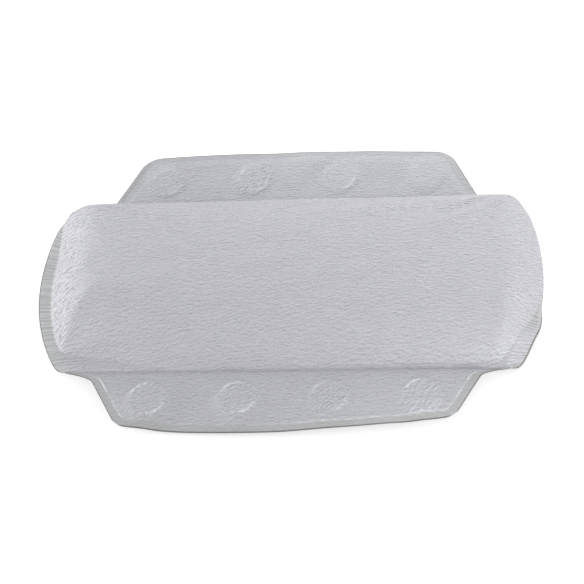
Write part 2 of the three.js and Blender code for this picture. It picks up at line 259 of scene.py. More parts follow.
class BodySizes(bpy.types.PropertyGroup):
    """Sizes of the stuffed body"""

    end_rim: length("End rim", "Flat weld beyond the foam at the ends", 0.012)
    side_rim: length("Side rim", "Flat weld beside the foam at the fold lines", 0.0025)
    left_bow: length("Left bow", "How far the left end bows out past its upper corner", 0.0155)
    right_bow: length("Right bow", "How far the right end bows out past its upper corner", 0.018)
    lower_bow: length("Lower bow", "How far each end bows out past its lower corner", 0.022)
    left_corner: length("Left corner", "Upper left corner radius of the welded outline", 0.021)
    right_corner: length("Right corner", "Upper right corner radius of the welded outline", 0.024)
    lower_corner: length("Lower corner", "Lower corner radius of the welded outline", 0.007)
    upper_hip: amount("Upper hip", "Sharpness of the edge between the upper slope and an end's", 3.5)
    left_hip: amount("Left hip", "The same between the lower slope and the left one", 8.0)
    right_hip: amount("Right hip", "The same between the lower slope and the right one", 2.6)
    left_slope: length("Left slope", "Plan width of the slope at the left end", 0.049)
    right_slope: length("Right slope", "Plan width of the slope at the right end", 0.037)
    upper_slope: length("Upper slope", "Plan width of the slope along the upper fold", 0.027)
    lower_slope: length("Lower slope", "Plan width of the slope along the lower fold", 0.0676)
    left_fullness: amount("Left fullness", "Bulge of the left slope, from a soft -1 to a full 1", -0.4)
    right_fullness: amount("Right fullness", "The same for the right slope", 0.1)
    upper_fullness: amount("Upper fullness", "The same for the upper slope", 1.0)
    lower_fullness: amount("Lower fullness", "The same for the lower slope", -0.75)
    left_foot: length("Left foot", "How far the lower slope starts from the weld at the left end", 0.011)
    right_filling: amount("Right filling", "How much fuller the lower slope is at the right end", 0.55)
    crown: length("Crown", "Further rise from the shoulder to the middle of the face", 0.0025)
    back_slope: length("Back slope", "Plan width of the slope round the back", 0.024)
    back_fullness: amount("Back fullness", "How far the slope round the back bulges", 0.5)
    start_share: amount("Start share", "Share of the rise that the cover has before it swells", 0.96)
    swell_cap: length("Swell cap", "Most that a point of the cover moves as it swells", 0.005)
    rim_turn: angle("Rim turn", "How far the right end's rim is tucked under beside the upper fold", 100.0)
    left_bulge: length("Left bulge", "How far the stuffing bulges over the left rim's upper corner", 0.0098)
    right_bulge: length("Right bulge", "How far the stuffing bulges out over the right rim", 0.0094)
    corner_fill: length("Corner fill", "How far the stuffing fills the lower right corner", 0.0065)
    left_droop: angle("Left droop", "How far the left end's rim droops", 6.0)
    right_droop: angle("Right droop", "How far the right end's rim droops at the lower corner", 12.0)
    corner_sag: length("Corner sag", "How far the lower right corner hangs down", 0.005)
    foam_corner: length("Foam corner", "Corner radius of the foam slab", 0.024)
    foam_gap: length("Foam gap", "Space between the foam and the vinyl", 0.005)


class FlapSizes(bpy.types.PropertyGroup):
    """Sizes of a flap"""

    upper_root: length("Upper root", "Upper flap along the fold line", 0.296)
    upper_tip: length("Upper tip", "Upper flap between its tip corners", 0.242)
    lower_root: length("Lower root", "Lower flap along the fold line", 0.308)
    lower_tip: length("Lower tip", "Lower flap between its tip corners", 0.250)
    depth: length("Depth", "Fold line to the furthest place of the tip edge", 0.052)
    upper_bow: length("Upper bow", "How far the upper tip edge bows out", 0.0034)
    upper_peak: amount("Upper peak", "Furthest place of the upper tip edge, left of the middle", 0.07)
    lower_bow: length("Lower bow", "How far the lower tip edge bows out", 0.0080)
    lower_peak: amount("Lower peak", "Furthest place of the lower tip edge, left of the middle", 0.11)
    upper_corner: length("Upper tip corner", "Radius of the upper flap's tip corners", 0.009)
    lower_corner: length("Lower tip corner", "Radius of the lower flap's tip corners", 0.006)
    root_fillet: length("Root fillet", "Depth of the fillet from a flap's side to the body's edge", 0.008)
    upper_flare: length("Upper flare", "How far that fillet widens the upper flap at its root", 0.003)
    lower_flare: length("Lower flare", "How far it widens the lower flap", 0.017)
    weld_band: length("Weld band", "Width of the smooth weld along the sides", 0.0072)
    tip_band: length("Tip band", "Width of the smooth weld along the tip edge", 0.0052)
    weld_lip: length("Weld lip", "Height of the bead along the inner side of the weld", 0.0008)
    puff: length("Puff", "How far the front ply stands off inside the weld", 0.0007)
    crease: length("Crease", "Depth of the welded crease at the fold", 0.0007)
    disc_radius: length("Disc radius", "Round of front ply raised by a cup's head", 0.0126)
    disc_edge: length("Disc edge", "Width over which the ply falls from that round", 0.0026)
    disc_raise: length("Disc raise", "Height of that round over the flat ply", 0.0015)
    hole: length("Hole", "Radius of the punched holes in the back ply", 0.0043)


class CupSizes(bpy.types.PropertyGroup):
    """Sizes of a suction cup"""

    radius: length("Radius", "Outside of the rim", 0.015)
    height: length("Height", "Rim to the shoulder under the back ply", 0.010)
    land: length("Land", "Flat width of the sealing rim", 0.0018)
    lip: length("Lip", "Thickness of the bell at the rim", 0.0009)
    hollow: length("Hollow", "Depth of the bell's hollow", 0.0063)
    hollow_fullness: length("Hollow fullness", "Radius to which the hollow's roof stays near level", 0.0095)
    bell_fullness: length("Bell fullness", "The same for the outside of the bell", 0.0119)
    shoulder: length("Shoulder", "Radius of the shoulder on top of the bell", 0.0055)
    shoulder_height: length("Shoulder height", "Straight wall under the shoulder", 0.0016)
    neck: length("Neck", "Radius of the neck", 0.004)
    head: length("Head", "Radius of the button head between the plies", 0.0125)
    head_low: length("Head low", "Level of the head's underside", 0.0111)
    head_thickness: length("Head thickness", "Thickness of the head", 0.0016)
    edge_round: length("Edge round", "Round on the moulded edges", 0.0004)


class VinylFinish(bpy.types.PropertyGroup):
    """Emboss and colours of the vinyl, foam and cups"""

    pitch: length("Pitch", "Ridge to ridge of the crepe emboss", 0.0026)
    run: length("Run", "How far a ridge of the emboss runs on", 0.0032)
    fan: amount("Fan", "How steeply the emboss rises at the left end", 0.22)
    depth: length("Depth", "Depth of the emboss where it is deepest, on the left slope", 0.0029)
    face_share: amount("Face share", "Share of that depth on the face and the flaps", 0.46)
    pull_reach: length("Pull reach", "How far in from the ends the vinyl is pulled tight", 0.070)
    press_pitch: length("Press pitch", "Line to line of the marks pressed across the end rims", 0.0031)
    press_depth: length("Press depth", "Depth of those lines", 0.00034)
    unevenness: length("Unevenness", "Slow waves of the foam under the face", 0.00025)
    face: colour("Face", "Embossed vinyl", (0.50, 0.502, 0.535))
    flap: colour("Flap", "Embossed vinyl of the flaps, with no foam behind it", (0.466, 0.469, 0.502))
    weld: colour("Weld", "Vinyl pressed smooth in a weld", (0.468, 0.473, 0.480))
    # The cut edge colour is painted shade: a dark band that stands in for the shadowed side of each cut edge
    cut: colour("Cut edge", "Cut edges of the vinyl", (0.20, 0.20, 0.195))
    back: colour("Back", "Back ply", (0.47, 0.475, 0.505))
    foam: colour("Foam", "Foam slab", (0.79, 0.76, 0.67))
    cup: colour("Cup", "Soft clear plastic of the cups", (0.80, 0.83, 0.86))


class StudioSettings(bpy.types.PropertyGroup):
    """Camera and lights"""

    azimuth: angle("Azimuth", "How far the camera stands to the right of the pillow's middle", 12.7)
    elevation: angle("Elevation", "How far the camera looks down", 56.0)
    roll: angle("Roll", "How far the picture is turned anticlockwise", 11.74)
    distance: length("Distance", "Camera to the pillow", 1.838)
    lens: amount("Lens", "Focal length in millimetres", 144.8)
    aim_right: length("Aim right", "Middle of the picture, right of the pillow's middle", 0.0015)
    aim_up: length("Aim up", "Middle of the picture, above the pillow's middle", -0.0045)
    ambient: amount("Ambient", "Light from all round", 0.62)
    left_light: amount("Left light", "Power of the lamp at the left end", 16.5)
    right_light: amount("Right light", "Power of the lamp beyond the upper right corner", 1.45)
    upper_light: amount("Upper light", "Power of the lamp beyond the upper flap", 4.4)
    lower_light: amount("Lower light", "Power of the lamp beyond the lower right corner", 2.1)
    floor_glow: amount("Floor glow", "Light added to the floor as the camera sees it", 0.4)


class BathPillowSettings(bpy.types.PropertyGroup):
    """All sizes, finishes and studio settings of the bath pillow"""

    body: PointerProperty(type=BodySizes)
    flap: PointerProperty(type=FlapSizes)
    cup: PointerProperty(type=CupSizes)
    vinyl: PointerProperty(type=VinylFinish)
    studio: PointerProperty(type=StudioSettings)


def smooth(share):
    """Smooth step: 0 up to 0, 1 from 1 on, level at both ends."""
    share = np.clip(share, 0.0, 1.0)
    return share * share * (3.0 - 2.0 * share)


def ramp(value, start, end):
    """Smooth step from 0 at the start to 1 at the end, which may lie on either side of the start."""
    return smooth((value - start) / (end - start))


def bell(distance, width):
    """A bell curve that is 1 at distance 0 and falls away over the width."""
    return np.exp(-((distance / width) ** 2))


def grid_normals(points):
    """Unit normals of a grid: the cross product of its steps along the columns and along the rows."""
    normals = np.cross(np.gradient(points, axis=1), np.gradient(points, axis=0))
    return normals / np.linalg.norm(normals, axis=-1, keepdims=True)


def crinkle(along, across, run, pitch, seed, spread=0.36, waves=44):
    """Random crinkles with a height of about 1: a sum of sine waves, each about a pitch long across the
    sheet, give or take the spread, and changing slowly along it, over about a run."""
    draw = np.random.default_rng(seed)
    across_turns = draw.normal(1.0, spread, waves) / pitch
    along_turns = draw.normal(0.0, 0.5, waves) / run
    starts = draw.uniform(0.0, 1.0, waves)
    total = np.zeros(np.broadcast(along, across).shape)
    for along_turn, across_turn, start in zip(along_turns, across_turns, starts):
        total += np.sin(2.0 * np.pi * (along_turn * along + across_turn * across + start))
    return total / math.sqrt(waves / 2.0)


def slow_waves(sheet, seed):
    """Slow waves of the foam that show through a body's ply."""
    return crinkle(sheet.along, sheet.across, WAVE_RUN, WAVE_PITCH, seed)


def fanned(vinyl, along):
    """How far the emboss is shifted across the sheet, so that it rises towards the right at the left end: a
    cubic that flattens out at the right end."""
    return vinyl.fan / 3.0 * 2.0 * HALF_LENGTH * (0.5 - along / (2.0 * HALF_LENGTH)) ** 3


def end_fan(vinyl, sheet):
    """How far the emboss is shifted across the sheet at the ends, so that it runs square to the seam there:
    a lean that grows from nothing at the pull's reach to its full at the edge."""
    inward = np.where(sheet.along < 0.0, sheet.along - sheet.along.min(), sheet.along.max() - sheet.along)
    left_lean = LEFT_LEAN + LEFT_LEAN_GAIN * sheet.y / HALF_WIDTH
    lean = np.where(sheet.along < 0.0, left_lean, RIGHT_LEAN)
    return -0.5 * vinyl.pull_reach * lean * np.clip(1.0 - inward / vinyl.pull_reach, 0.0, 1.0) ** 2


def drawn_out(vinyl, sheet):
    """Places along the emboss map of a body's ply: the walk along the sheet, but with steps that shrink
    evenly to the drawn step over the pull's reach at the left end, which draws the ridges out there."""
    inward = np.clip((sheet.along - sheet.along.min()) / vinyl.pull_reach, 0.0, 1.0)
    return sheet.along + 0.5 * (1.0 - DRAWN_STEP) * vinyl.pull_reach * (1.0 - inward) ** 2


def round_corner(near_x, near_y, radius):
    """Distances from two edges, pulled in so that the corner between them is a quarter circle: the square
    of side radius at the corner is mapped to a quarter disc."""
    share_x = np.clip(1.0 - near_x / radius, 0.0, 1.0)
    share_y = np.clip(1.0 - near_y / radius, 0.0, 1.0)
    pull_x = share_x * (1.0 - np.sqrt(1.0 - share_y**2 / 2.0))
    pull_y = share_y * (1.0 - np.sqrt(1.0 - share_x**2 / 2.0))
    return near_x + radius * pull_x, near_y + radius * pull_y


def slope_height(share, fullness):
    """Height up a slope of height 1: a cubic that eases into the shoulder at fullness 0, a quarter ellipse
    at fullness 1, and a quartic that leaves its foot softly too at fullness -1."""
    left = 1.0 - share
    eased = 1.0 - left**3
    ellipse = np.sqrt(1.0 - left**2)
    soft = 1.0 - left**3 * (1.0 + 3.0 * share)
    return eased + np.where(fullness > 0.0, fullness * (ellipse - eased), fullness * (eased - soft))


def half_section(half, rim, slope, fullness, rise, count):
    """Equal steps along a sheet from its edge to its middle: a flat rim, a slope and a level face. Gives
    the plan distance from the edge, how far up the slope, and the walk."""
    share = np.linspace(0.0, 1.0, SECTION_STEPS)
    steps = np.hypot(slope * np.diff(share), rise * np.diff(slope_height(share, fullness)))
    walk = rim + np.concatenate([[0.0], np.cumsum(steps)])
    walk = np.concatenate([[0.0], walk, [walk[-1] + half - rim - slope]])
    plan = np.concatenate([[0.0], rim + slope * share, [half]])
    at = np.linspace(0.0, walk[-1], count)
    near = np.interp(at, walk, plan)
    return near, np.clip((near - rim) / slope, 0.0, 1.0), at


def joined(first, second):
    """Values from one edge to the middle, and from there to the other edge. Both lists start at an edge."""
    return np.concatenate([first, second[-2::-1]])


class BodySheet:
    """One ply over the body as a grid of rows along X.

    near_end and near_side are plan distances from the edges, up_end goes from 0 at the foot of an end's
    slope to 1 at its shoulder, lift from 0 at the weld to 1 on the face, end_slope is 1 where an end's
    slope is the lower one, and along and across are walks on the ply from its middle.

    Each slope, at the left, the right, the upper side and the lower side, is a width and a fullness.
    Where two of them meet, the lower one wins over a soft hip. The lower slope starts a foot further in at
    the left end, and is fuller by the filling at the right end."""

    def __init__(self, body, reach, rims, slopes, rise, columns, rows, corner=None, foot=0.0, filling=0.0):
        half_length, half_width = reach
        left, right, upper, lower = slopes
        near_left, up_left, walk_left = half_section(half_length, rims[0], *left, rise, columns)
        near_right, up_right, walk_right = half_section(half_length, rims[0], *right, rise, columns)
        near_high, _, walk_high = half_section(half_width, rims[1], *upper, rise, rows)
        near_low, _, walk_low = half_section(half_width, rims[1], *lower, rise, rows)
        near_ends, near_sides = joined(near_left, near_right), joined(near_low, near_high)
        self.near_end, self.near_side = np.meshgrid(near_ends, near_sides)
        self.up_end = np.broadcast_to(joined(up_left, up_right), self.near_end.shape)
        along = joined(walk_left - walk_left[-1], walk_right[-1] - walk_right)
        across = joined(walk_low - walk_low[-1], walk_high[-1] - walk_high)
        self.along, self.across = np.meshgrid(along, across)
        on_upper, on_left = self.across > 0.0, self.along < 0.0
        foot = np.where(on_upper, 0.0, foot * ramp(self.along, *FOOT_LENGTHS))
        width = np.where(on_upper, upper[0], lower[0]) - foot
        up_side = np.clip((self.near_side - rims[1] - foot) / width, 0.0, 1.0)
        hip = np.where(on_upper, body.upper_hip, np.where(on_left, body.left_hip, body.right_hip))
        end_fall = 1.0 - slope_height(self.up_end, np.where(on_left, left[1], right[1]))
        lower_fullness = lower[1] + filling * ramp(self.along, *FILLING_LENGTHS)
        side_fall = 1.0 - slope_height(up_side, np.where(on_upper, upper[1], lower_fullness))
        self.lift = 1.0 - np.minimum((end_fall**hip + side_fall**hip) ** (1.0 / hip), 1.0)
        self.end_slope = ramp(end_fall - side_fall, -HIP_SOFTNESS, HIP_SOFTNESS)
        self.rise = rise
        end_bulge = 1.0 - (1.0 - self.near_end / half_length) ** 2
        side_bulge = 1.0 - (1.0 - self.near_side / half_width) ** 2
        self.bulge = end_bulge * side_bulge
        if corner is None:
            upper_corner = np.where(on_left, body.left_corner, body.right_corner)
            corner = np.where(on_upper, upper_corner, body.lower_corner)
        in_end, in_side = round_corner(self.near_end, self.near_side, corner)
        self.y = np.sign(self.across) * (half_width - in_side)
        bow = np.where(on_upper, np.where(on_left, body.left_bow, body.right_bow), body.lower_bow)
        radius = (half_width**2 + bow**2) / (2.0 * bow)
        sag = radius - np.sqrt(radius**2 - self.y**2)
        self.x = np.sign(self.along) * (half_length - in_end - sag * (1.0 - in_end / half_length))

    def crowned(self, level, direction, crown):
        """The grid's points: the rise and a crown that falls to nothing at the edges, times the lift."""
        height = self.lift * (self.rise + crown * self.bulge)
        return np.stack([self.x, self.y, level + direction * height], axis=-1)


def front_slopes(body):
    """Width and fullness of the front's slopes: the left, the right, the upper side and the lower side."""
    return (
        (body.left_slope, body.left_fullness),
        (body.right_slope, body.right_fullness),
        (body.upper_slope, body.upper_fullness),
        (body.lower_slope, body.lower_fullness),
    )


def back_slopes(body):
    """The same for the back, where all are alike."""
    return ((body.back_slope, body.back_fullness),) * 4


def corner_hang(x):
    """0 along the lower fold, and 1 at the lower right corner of the body, which hangs down."""
    return ramp(x, *HANG_LENGTHS)


def turn_rims(body, sheet, points):
    """Bends the end rims about the foot of the slope. The left one droops a little, and the stuffing bulges
    out over it, most at the upper corner. The right one is tucked under the stuffing, which bulges out over
    it, and comes out towards the lower corner, where it droops and the stuffing fills its foot."""
    outside = np.clip(body.end_rim - sheet.near_end, 0.0, None)
    inside = np.clip(sheet.near_end - body.end_rim, 0.0, None)
    on_right = sheet.along > 0.0
    height = sheet.y / HALF_WIDTH
    tucked = np.where(on_right, ramp(height, *RIGHT_TUCK), 0.0)
    left_bulging = LEFT_BULGE_LEAST + (1.0 - LEFT_BULGE_LEAST) * ramp(height, *LEFT_BULGE)
    left_bulging *= 1.0 - outside / body.end_rim
    bulging = np.where(on_right, ramp(height, *RIGHT_BULGE), left_bulging)
    droop = np.where(on_right, body.right_droop * ramp(height, *RIGHT_DROOP), body.left_droop)
    turn = droop + (body.rim_turn - droop) * tucked
    bulge = np.where(on_right, body.right_bulge, body.left_bulge) * bulging
    bulge *= 1.0 - ramp(inside, 0.0, 2.0 * body.left_slope)
    filled = np.where(on_right, ramp(height, *RIGHT_FILL), 0.0) * ramp(sheet.near_side, 0.0, FILL_SIDE)
    filled *= ramp(sheet.near_end, 0.0, FILL_PEAK) * (1.0 - ramp(sheet.near_end, FILL_PEAK, FILL_END))
    points[..., 0] += np.sign(sheet.along) * (bulge - outside * (1.0 - np.cos(turn)))
    hanging = corner_hang(sheet.x) * ramp(height, *RIGHT_HANG)
    points[..., 2] += body.corner_fill * filled - outside * np.sin(turn) - body.corner_sag * hanging


def cells(index):
    """The quads of a grid of vertex numbers."""
    corners = [index[:-1, :-1], index[:-1, 1:], index[1:, 1:], index[1:, :-1]]
    return np.stack(corners, axis=-1).reshape(-1, 4)


def rim_loop(index):
    """Vertex numbers round the edge of a grid, once round."""
    return np.concatenate([index[0, :-1], index[:-1, -1], index[-1, :0:-1], index[:0:-1, 0]])


def closed_sheet(outer, inner):
    """Quads and triangles of a closed sheet: the outer grid, an inner grid that has every n-th of its
    points, and a fan of triangles between their edges all round."""
    rows, columns = outer.shape[:2]
    skip = (rows - 1) // (inner.shape[0] - 1)
    outer_index = np.arange(rows * columns).reshape(rows, columns)
    inner_index = rows * columns + np.arange(inner.shape[0] * inner.shape[1]).reshape(inner.shape[:2])
    quads = np.concatenate([cells(outer_index), cells(inner_index)[:, ::-1]])
    near = rim_loop(inner_index)
    far = np.roll(near, -1)
    first = rim_loop(outer_index)
    second = np.roll(first, -1)
    first = first.reshape(len(near), skip)
    second = second.reshape(len(near), skip)
    middle = skip // 2
    fans = [np.stack([near, far, first[:, middle]], axis=1)]
    for step in range(skip):
        tip = near if step < middle else far
        fans.append(np.stack([tip, second[:, step], first[:, step]], axis=1))
    return quads, np.concatenate(fans)


def flat_list(grid, skip):
    """A grid's values and every n-th of them again, in the order of a closed sheet's vertices."""
    depth = grid.shape[2:]
    return np.concatenate([grid.reshape(-1, *depth), grid[::skip, ::skip].reshape(-1, *depth)])


def new_piece(name, vertices, faces, material, masks=None, sheet_map=None):
    """A mesh object with smooth shading that breaks at sharp edges, its point masks and its sheet map."""
    mesh = bpy.data.meshes.new(name)
    mesh.from_pydata(vertices.tolist(), [], faces, shade_flat=False)
    mesh.set_sharp_from_angle(angle=SHARP_EDGE)
    for mask_name, values in (masks or {}).items():
        mask = mesh.attributes.new(mask_name, "FLOAT", "POINT")
        mask.data.foreach_set("value", values.astype(np.float32))
    if sheet_map is not None:
        corners = np.zeros(len(mesh.loops), dtype=np.int32)
        mesh.loops.foreach_get("vertex_index", corners)
        layer = mesh.uv_layers.new(name="sheet")
        layer.data.foreach_set("uv", sheet_map[corners].astype(np.float32).ravel())
    mesh.materials.append(material)
    piece = bpy.data.objects.new(name, mesh)
    bpy.context.scene.collection.objects.link(piece)
    return piece


def sheet_piece(name, points, skip, material, masks, along, across, holes=None):
    """A closed sheet one ply thick under a grid of points. Cells whose four corners lie in a hole are left
    out, and its edge is closed with a wall."""
    inner = (points - VINYL * grid_normals(points))[::skip, ::skip]
    quads, triangles = closed_sheet(points, inner)
    vertices = np.concatenate([points.reshape(-1, 3), inner.reshape(-1, 3)])
    faces = quads.tolist() + triangles.tolist()
    if holes is not None:
        faces = punched(quads, triangles, points.shape[:2], holes)
    flat_masks = {mask: flat_list(values, skip) for mask, values in masks.items()}
    sheet_map = flat_list(np.stack([along, across], axis=-1), skip)
    return new_piece(name, vertices, faces, material, flat_masks, sheet_map)


def punched(quads, triangles, shape, holes):
    """The faces of a sheet with skip 1 without the cells in holes, and with a wall round each hole."""
    inside = holes[:-1, :-1] & holes[:-1, 1:] & holes[1:, 1:] & holes[1:, :-1]
    open_cells = inside.ravel()
    count = shape[0] * shape[1]
    upper = quads[: open_cells.size]
    gone = upper[open_cells]
    edges = np.concatenate([gone[:, [0, 1]], gone[:, [1, 2]], gone[:, [2, 3]], gone[:, [3, 0]]])
    one_way = np.sort(edges, axis=1)
    _, place, uses = np.unique(one_way, axis=0, return_inverse=True, return_counts=True)
    border = edges[uses[place.ravel()] == 1]
    wall = np.stack([border[:, 0], border[:, 1], border[:, 1] + count, border[:, 0] + count], axis=1)
    kept = np.concatenate([~open_cells, ~open_cells])
    return quads[kept].tolist() + wall.tolist() + triangles.tolist()


def cubic_spread(coarse, skip):
    """Matrix that spreads values at every n-th point over all points of a line by cubic interpolation."""
    fine = (coarse - 1) * skip + 1
    at = np.arange(fine) / skip
    cell = np.clip(np.floor(at).astype(int), 0, coarse - 2)
    t = at - cell
    shares = [
        -0.5 * t**3 + t**2 - 0.5 * t,
        1.5 * t**3 - 2.5 * t**2 + 1.0,
        -1.5 * t**3 + 2.0 * t**2 + 0.5 * t,
        0.5 * t**3 - 0.5 * t**2,
    ]
    spread = np.zeros((fine, coarse))
    for step, share in enumerate(shares, start=-1):
        np.add.at(spread, (np.arange(fine), np.clip(cell + step, 0, coarse - 1)), share)
    return spread


def swell(points, lift, skip, cap):
    """Blows up the front cover by a cloth simulation on every n-th point, welded all round, and gives how
    far each point of the full grid moves, at most the cap."""
    coarse = points[::skip, ::skip]
    floor = coarse * [1.0, 1.0, 0.0] + [0.0, 0.0, WELD_LEVEL - VINYL]
    floor[..., 2] -= 2.0 * VINYL * lift[::skip, ::skip]
    quads, triangles = closed_sheet(coarse, floor)
    vertices = np.concatenate([coarse.reshape(-1, 3), floor.reshape(-1, 3)])
    balloon = new_piece("swelling", vertices, quads.tolist() + triangles.tolist(), None)
    count = coarse.shape[0] * coarse.shape[1]
    welded = balloon.vertex_groups.new(name="welded")
    rim = np.flatnonzero(lift[::skip, ::skip].ravel() < WELDED_LIFT)
    welded.add(rim.tolist() + list(range(count, 2 * count)), 1.0, "REPLACE")
    cloth = balloon.modifiers.new("cloth", "CLOTH")
    for name, value in SWELL_SETTINGS.items():
        setattr(cloth.settings, name, value)
    cloth.settings.vertex_group_mass = "welded"
    cloth.settings.effector_weights.gravity = 0.0
    cloth.point_cache.frame_start = 1
    cloth.point_cache.frame_end = SWELL_FRAMES
    scene = bpy.context.scene
    for step in range(1, SWELL_FRAMES + 1):
        scene.frame_set(step)
    swollen = balloon.evaluated_get(bpy.context.evaluated_depsgraph_get()).data
    found = np.zeros(len(swollen.vertices) * 3)
    swollen.vertices.foreach_get("co", found)
    scene.frame_set(1)
    bpy.data.objects.remove(balloon)
    moved = found.reshape(-1, 3)[:count].reshape(coarse.shape) - coarse
    far = np.linalg.norm(moved, axis=-1, keepdims=True)
    moved *= np.minimum(1.0, cap / np.maximum(far, 1e-9))
    print("swell: mean %.2f mm, most %.2f mm" % (far.mean() * 1000.0, far.max() * 1000.0))
    rows, columns = coarse.shape[:2]
    return np.einsum("ri,cj,ijk->rck", cubic_spread(rows, skip), cubic_spread(columns, skip), moved)


def front_cover_points(body, vinyl):
    """The front cover's sheet, its points and its pressed lines: a crowned sheet swollen by its stuffing,
    its end rims turned, with faint lines pressed across them and slow waves over the face."""
    full_rise = FRONT_HIGH.z - WELD_LEVEL - body.crown
    sheet = BodySheet(
        body,
        (HALF_LENGTH, HALF_WIDTH),
        (body.end_rim, body.side_rim),
        front_slopes(body),
        full_rise * body.start_share,
        FRONT_COLUMNS,
        FRONT_ROWS,
        foot=body.left_foot,
        filling=body.right_filling,
    )
    points = sheet.crowned(WELD_LEVEL, 1.0, body.crown)
    points += swell(points, sheet.lift, FRONT_SKIP, body.swell_cap)
    turn_rims(body, sheet, points)
    radial = sheet.across + end_fan(vinyl, sheet)
    pressed = crinkle(sheet.along, radial, PRESS_RUN * vinyl.press_pitch, vinyl.press_pitch, seed=13)
    on_rim = (1.0 - ramp(sheet.lift, 0.0, RIM_LIFT)) * ramp(sheet.near_end, 0.0, CUT_LAND)
    raised = vinyl.press_depth * np.clip(pressed, 0.0, PRESS_TOP) * on_rim
    raised += vinyl.unevenness * slow_waves(sheet, seed=14) * sheet.lift**2
    points += raised[..., None] * grid_normals(points)
    return sheet, points, pressed


def emboss_strength(vinyl, sheet, weld):
    """Share of the full emboss over a body's ply, both its bump and its painted light and shade: deepest on
    the left slope, where the vinyl is pulled tight and the painted light on its ridges is strongest, less on
    the right one and the upper one, and nearly gone in the welds."""
    upper = ramp(sheet.y / HALF_WIDTH, *UPPER_EMBOSS)
    face = vinyl.face_share * (1.0 + UPPER_EMBOSS_GAIN * upper)
    pull = ramp(sheet.lift, *PULL_LIFTS) * (1.0 - ramp(sheet.up_end, *PULL_FADE)) * sheet.end_slope
    pull *= np.where(sheet.along < 0.0, 1.0, RIGHT_PULL)
    return (face + (1.0 - face) * pull) * (1.0 - WELD_FLATNESS * weld)


def free_side(sheet, flap):
    """1 beside a body's long edges where they are free, and 0 along the folds, where the flaps go on."""
    upper_end, lower_end = (flap_widths(flap, side)[0] / 2.0 + root_flare(flap, side) for side in FLAPS)
    end = np.where(sheet.y > 0.0, upper_end, lower_end)
    return ramp(np.abs(sheet.x) - end, 0.0, FREE_RISE)


def pressed_shade(sheet, pressed):
    """Painted light and shade along the lines pressed across the end rims, lighter on their raised parts and
    darker between them; on the right one they run a little up the slope.
    """
    share = 1.0 - ramp(sheet.lift, 0.0, np.where(sheet.along < 0.0, RIM_LIFT, RIGHT_PRESS_LIFT))
    by_end = 1.0 - ramp(sheet.near_end, *PRESS_FADE)
    return PRESS_SHADING * share * by_end * np.clip(pressed, -PRESS_MOST, PRESS_MOST)


def rim_weld(body, flap, sheet):
    """1 on the welded rims of a ply over the body, where they lie smooth, and 0 on its stuffed part, along
    the folds and where the right rim is puckered."""
    end = 1.0 - ramp(sheet.near_end - body.end_rim, -WELD_SOFTNESS, WELD_SOFTNESS)
    smooth_stretch = bell(sheet.y / HALF_WIDTH - RIGHT_WELD_HEIGHT, RIGHT_WELD_WIDTH)
    end *= np.where(sheet.along > 0.0, smooth_stretch * ramp(sheet.near_end, *RIGHT_WELD_EDGE), 1.0)
    side = ramp(sheet.near_side, body.side_rim, body.side_rim + SIDE_WELD_FADE)
    return 1.0 - (1.0 - end) * (1.0 - free_side(sheet, flap) * (1.0 - side))


def cut_edge_shade(sheet, flap):
    """1 along the free cut edges of a ply, where their shade is painted, and 0 inside it and along the folds.
    """
    near = np.minimum(sheet.near_end, sheet.near_side + (1.0 - free_side(sheet, flap)))
    return cut_shade_line(near)


def cut_shade_line(near):
    """1 on a cut edge, where its shade is painted dark, falling to 0 two plies away from it."""
    return 1.0 - ramp(near, 0.0, 2.0 * VINYL)


def put(tree, socket, value):
    """Gives an input socket a value, or links another socket to it."""
    if isinstance(value, bpy.types.NodeSocket):
        tree.links.new(value, socket)
    else:
        socket.default_value = value


def add_node(tree, kind, inputs=None, **settings):
    """A shader node with its settings. Its inputs are values, or sockets that are linked to them."""
    node = tree.nodes.new(kind)
    for key, value in settings.items():
        setattr(node, key, value)
    for key, value in (inputs or {}).items():
        put(tree, node.inputs[key], value)
    return node


def mixed(tree, factor, first, second, blend="MIX"):
    """A colour mix of two colours or sockets."""
    mix = add_node(tree, "ShaderNodeMix", {0: factor}, data_type="RGBA", blend_type=blend)
    for place, value in ((6, first), (7, second)):
        put(tree, mix.inputs[place], value if isinstance(value, bpy.types.NodeSocket) else (*value, 1.0))
    return mix.outputs[2]


def multiplied(tree, first, second):
    """One colour socket multiplied by another."""
    return mixed(tree, 1.0, first, second, "MULTIPLY")


def ranged(tree, value, start, end, low=0.0, high=1.0):
    """A value that goes from low to high as another goes from start to end, and stays there beyond them."""
    inputs = {"Value": value, "From Min": start, "From Max": end, "To Min": low, "To Max": high}
    return add_node(tree, "ShaderNodeMapRange", inputs).outputs["Result"]


def noise(tree, place, scale, detail, roughness):
    """A noise texture's value from 0 to 1."""
    inputs = {"Vector": place, "Scale": scale, "Detail": detail, "Roughness": roughness}
    return add_node(tree, "ShaderNodeTexNoise", inputs).outputs["Fac"]


def new_group(name, inputs):
    """A shader node group that gives a height and a tone, with its input and output nodes."""
    group = bpy.data.node_groups.new(name, "ShaderNodeTree")
    for socket, kind in inputs:
        group.interface.new_socket(socket, in_out="INPUT", socket_type=kind)
    for socket, kind in (("Height", "NodeSocketFloat"), ("Tone", "NodeSocketColor")):
        group.interface.new_socket(socket, in_out="OUTPUT", socket_type=kind)
    return group, group.nodes.new("NodeGroupInput"), group.nodes.new("NodeGroupOutput")


def grain_group():
    """Shared grain: fine pebbles as a height, and a slow unevenness of tone just under 1."""
    found = bpy.data.node_groups.get("pressed_grain")
    if found:
        return found
    sockets = [("Vector", "NodeSocketVector"), ("Grain", "NodeSocketFloat"), ("Mottle", "NodeSocketFloat")]
    group, given, result = new_group("pressed_grain", sockets)
    pebbles = noise(group, given.outputs["Vector"], given.outputs["Grain"], 3.0, 0.6)
    clouds = noise(group, given.outputs["Vector"], given.outputs["Mottle"], 2.0, 0.5)
    put(group, result.inputs["Height"], pebbles)
    put(group, result.inputs["Tone"], ranged(group, clouds, *NOISE_RANGE, *CLOUD_TONES))
    return group


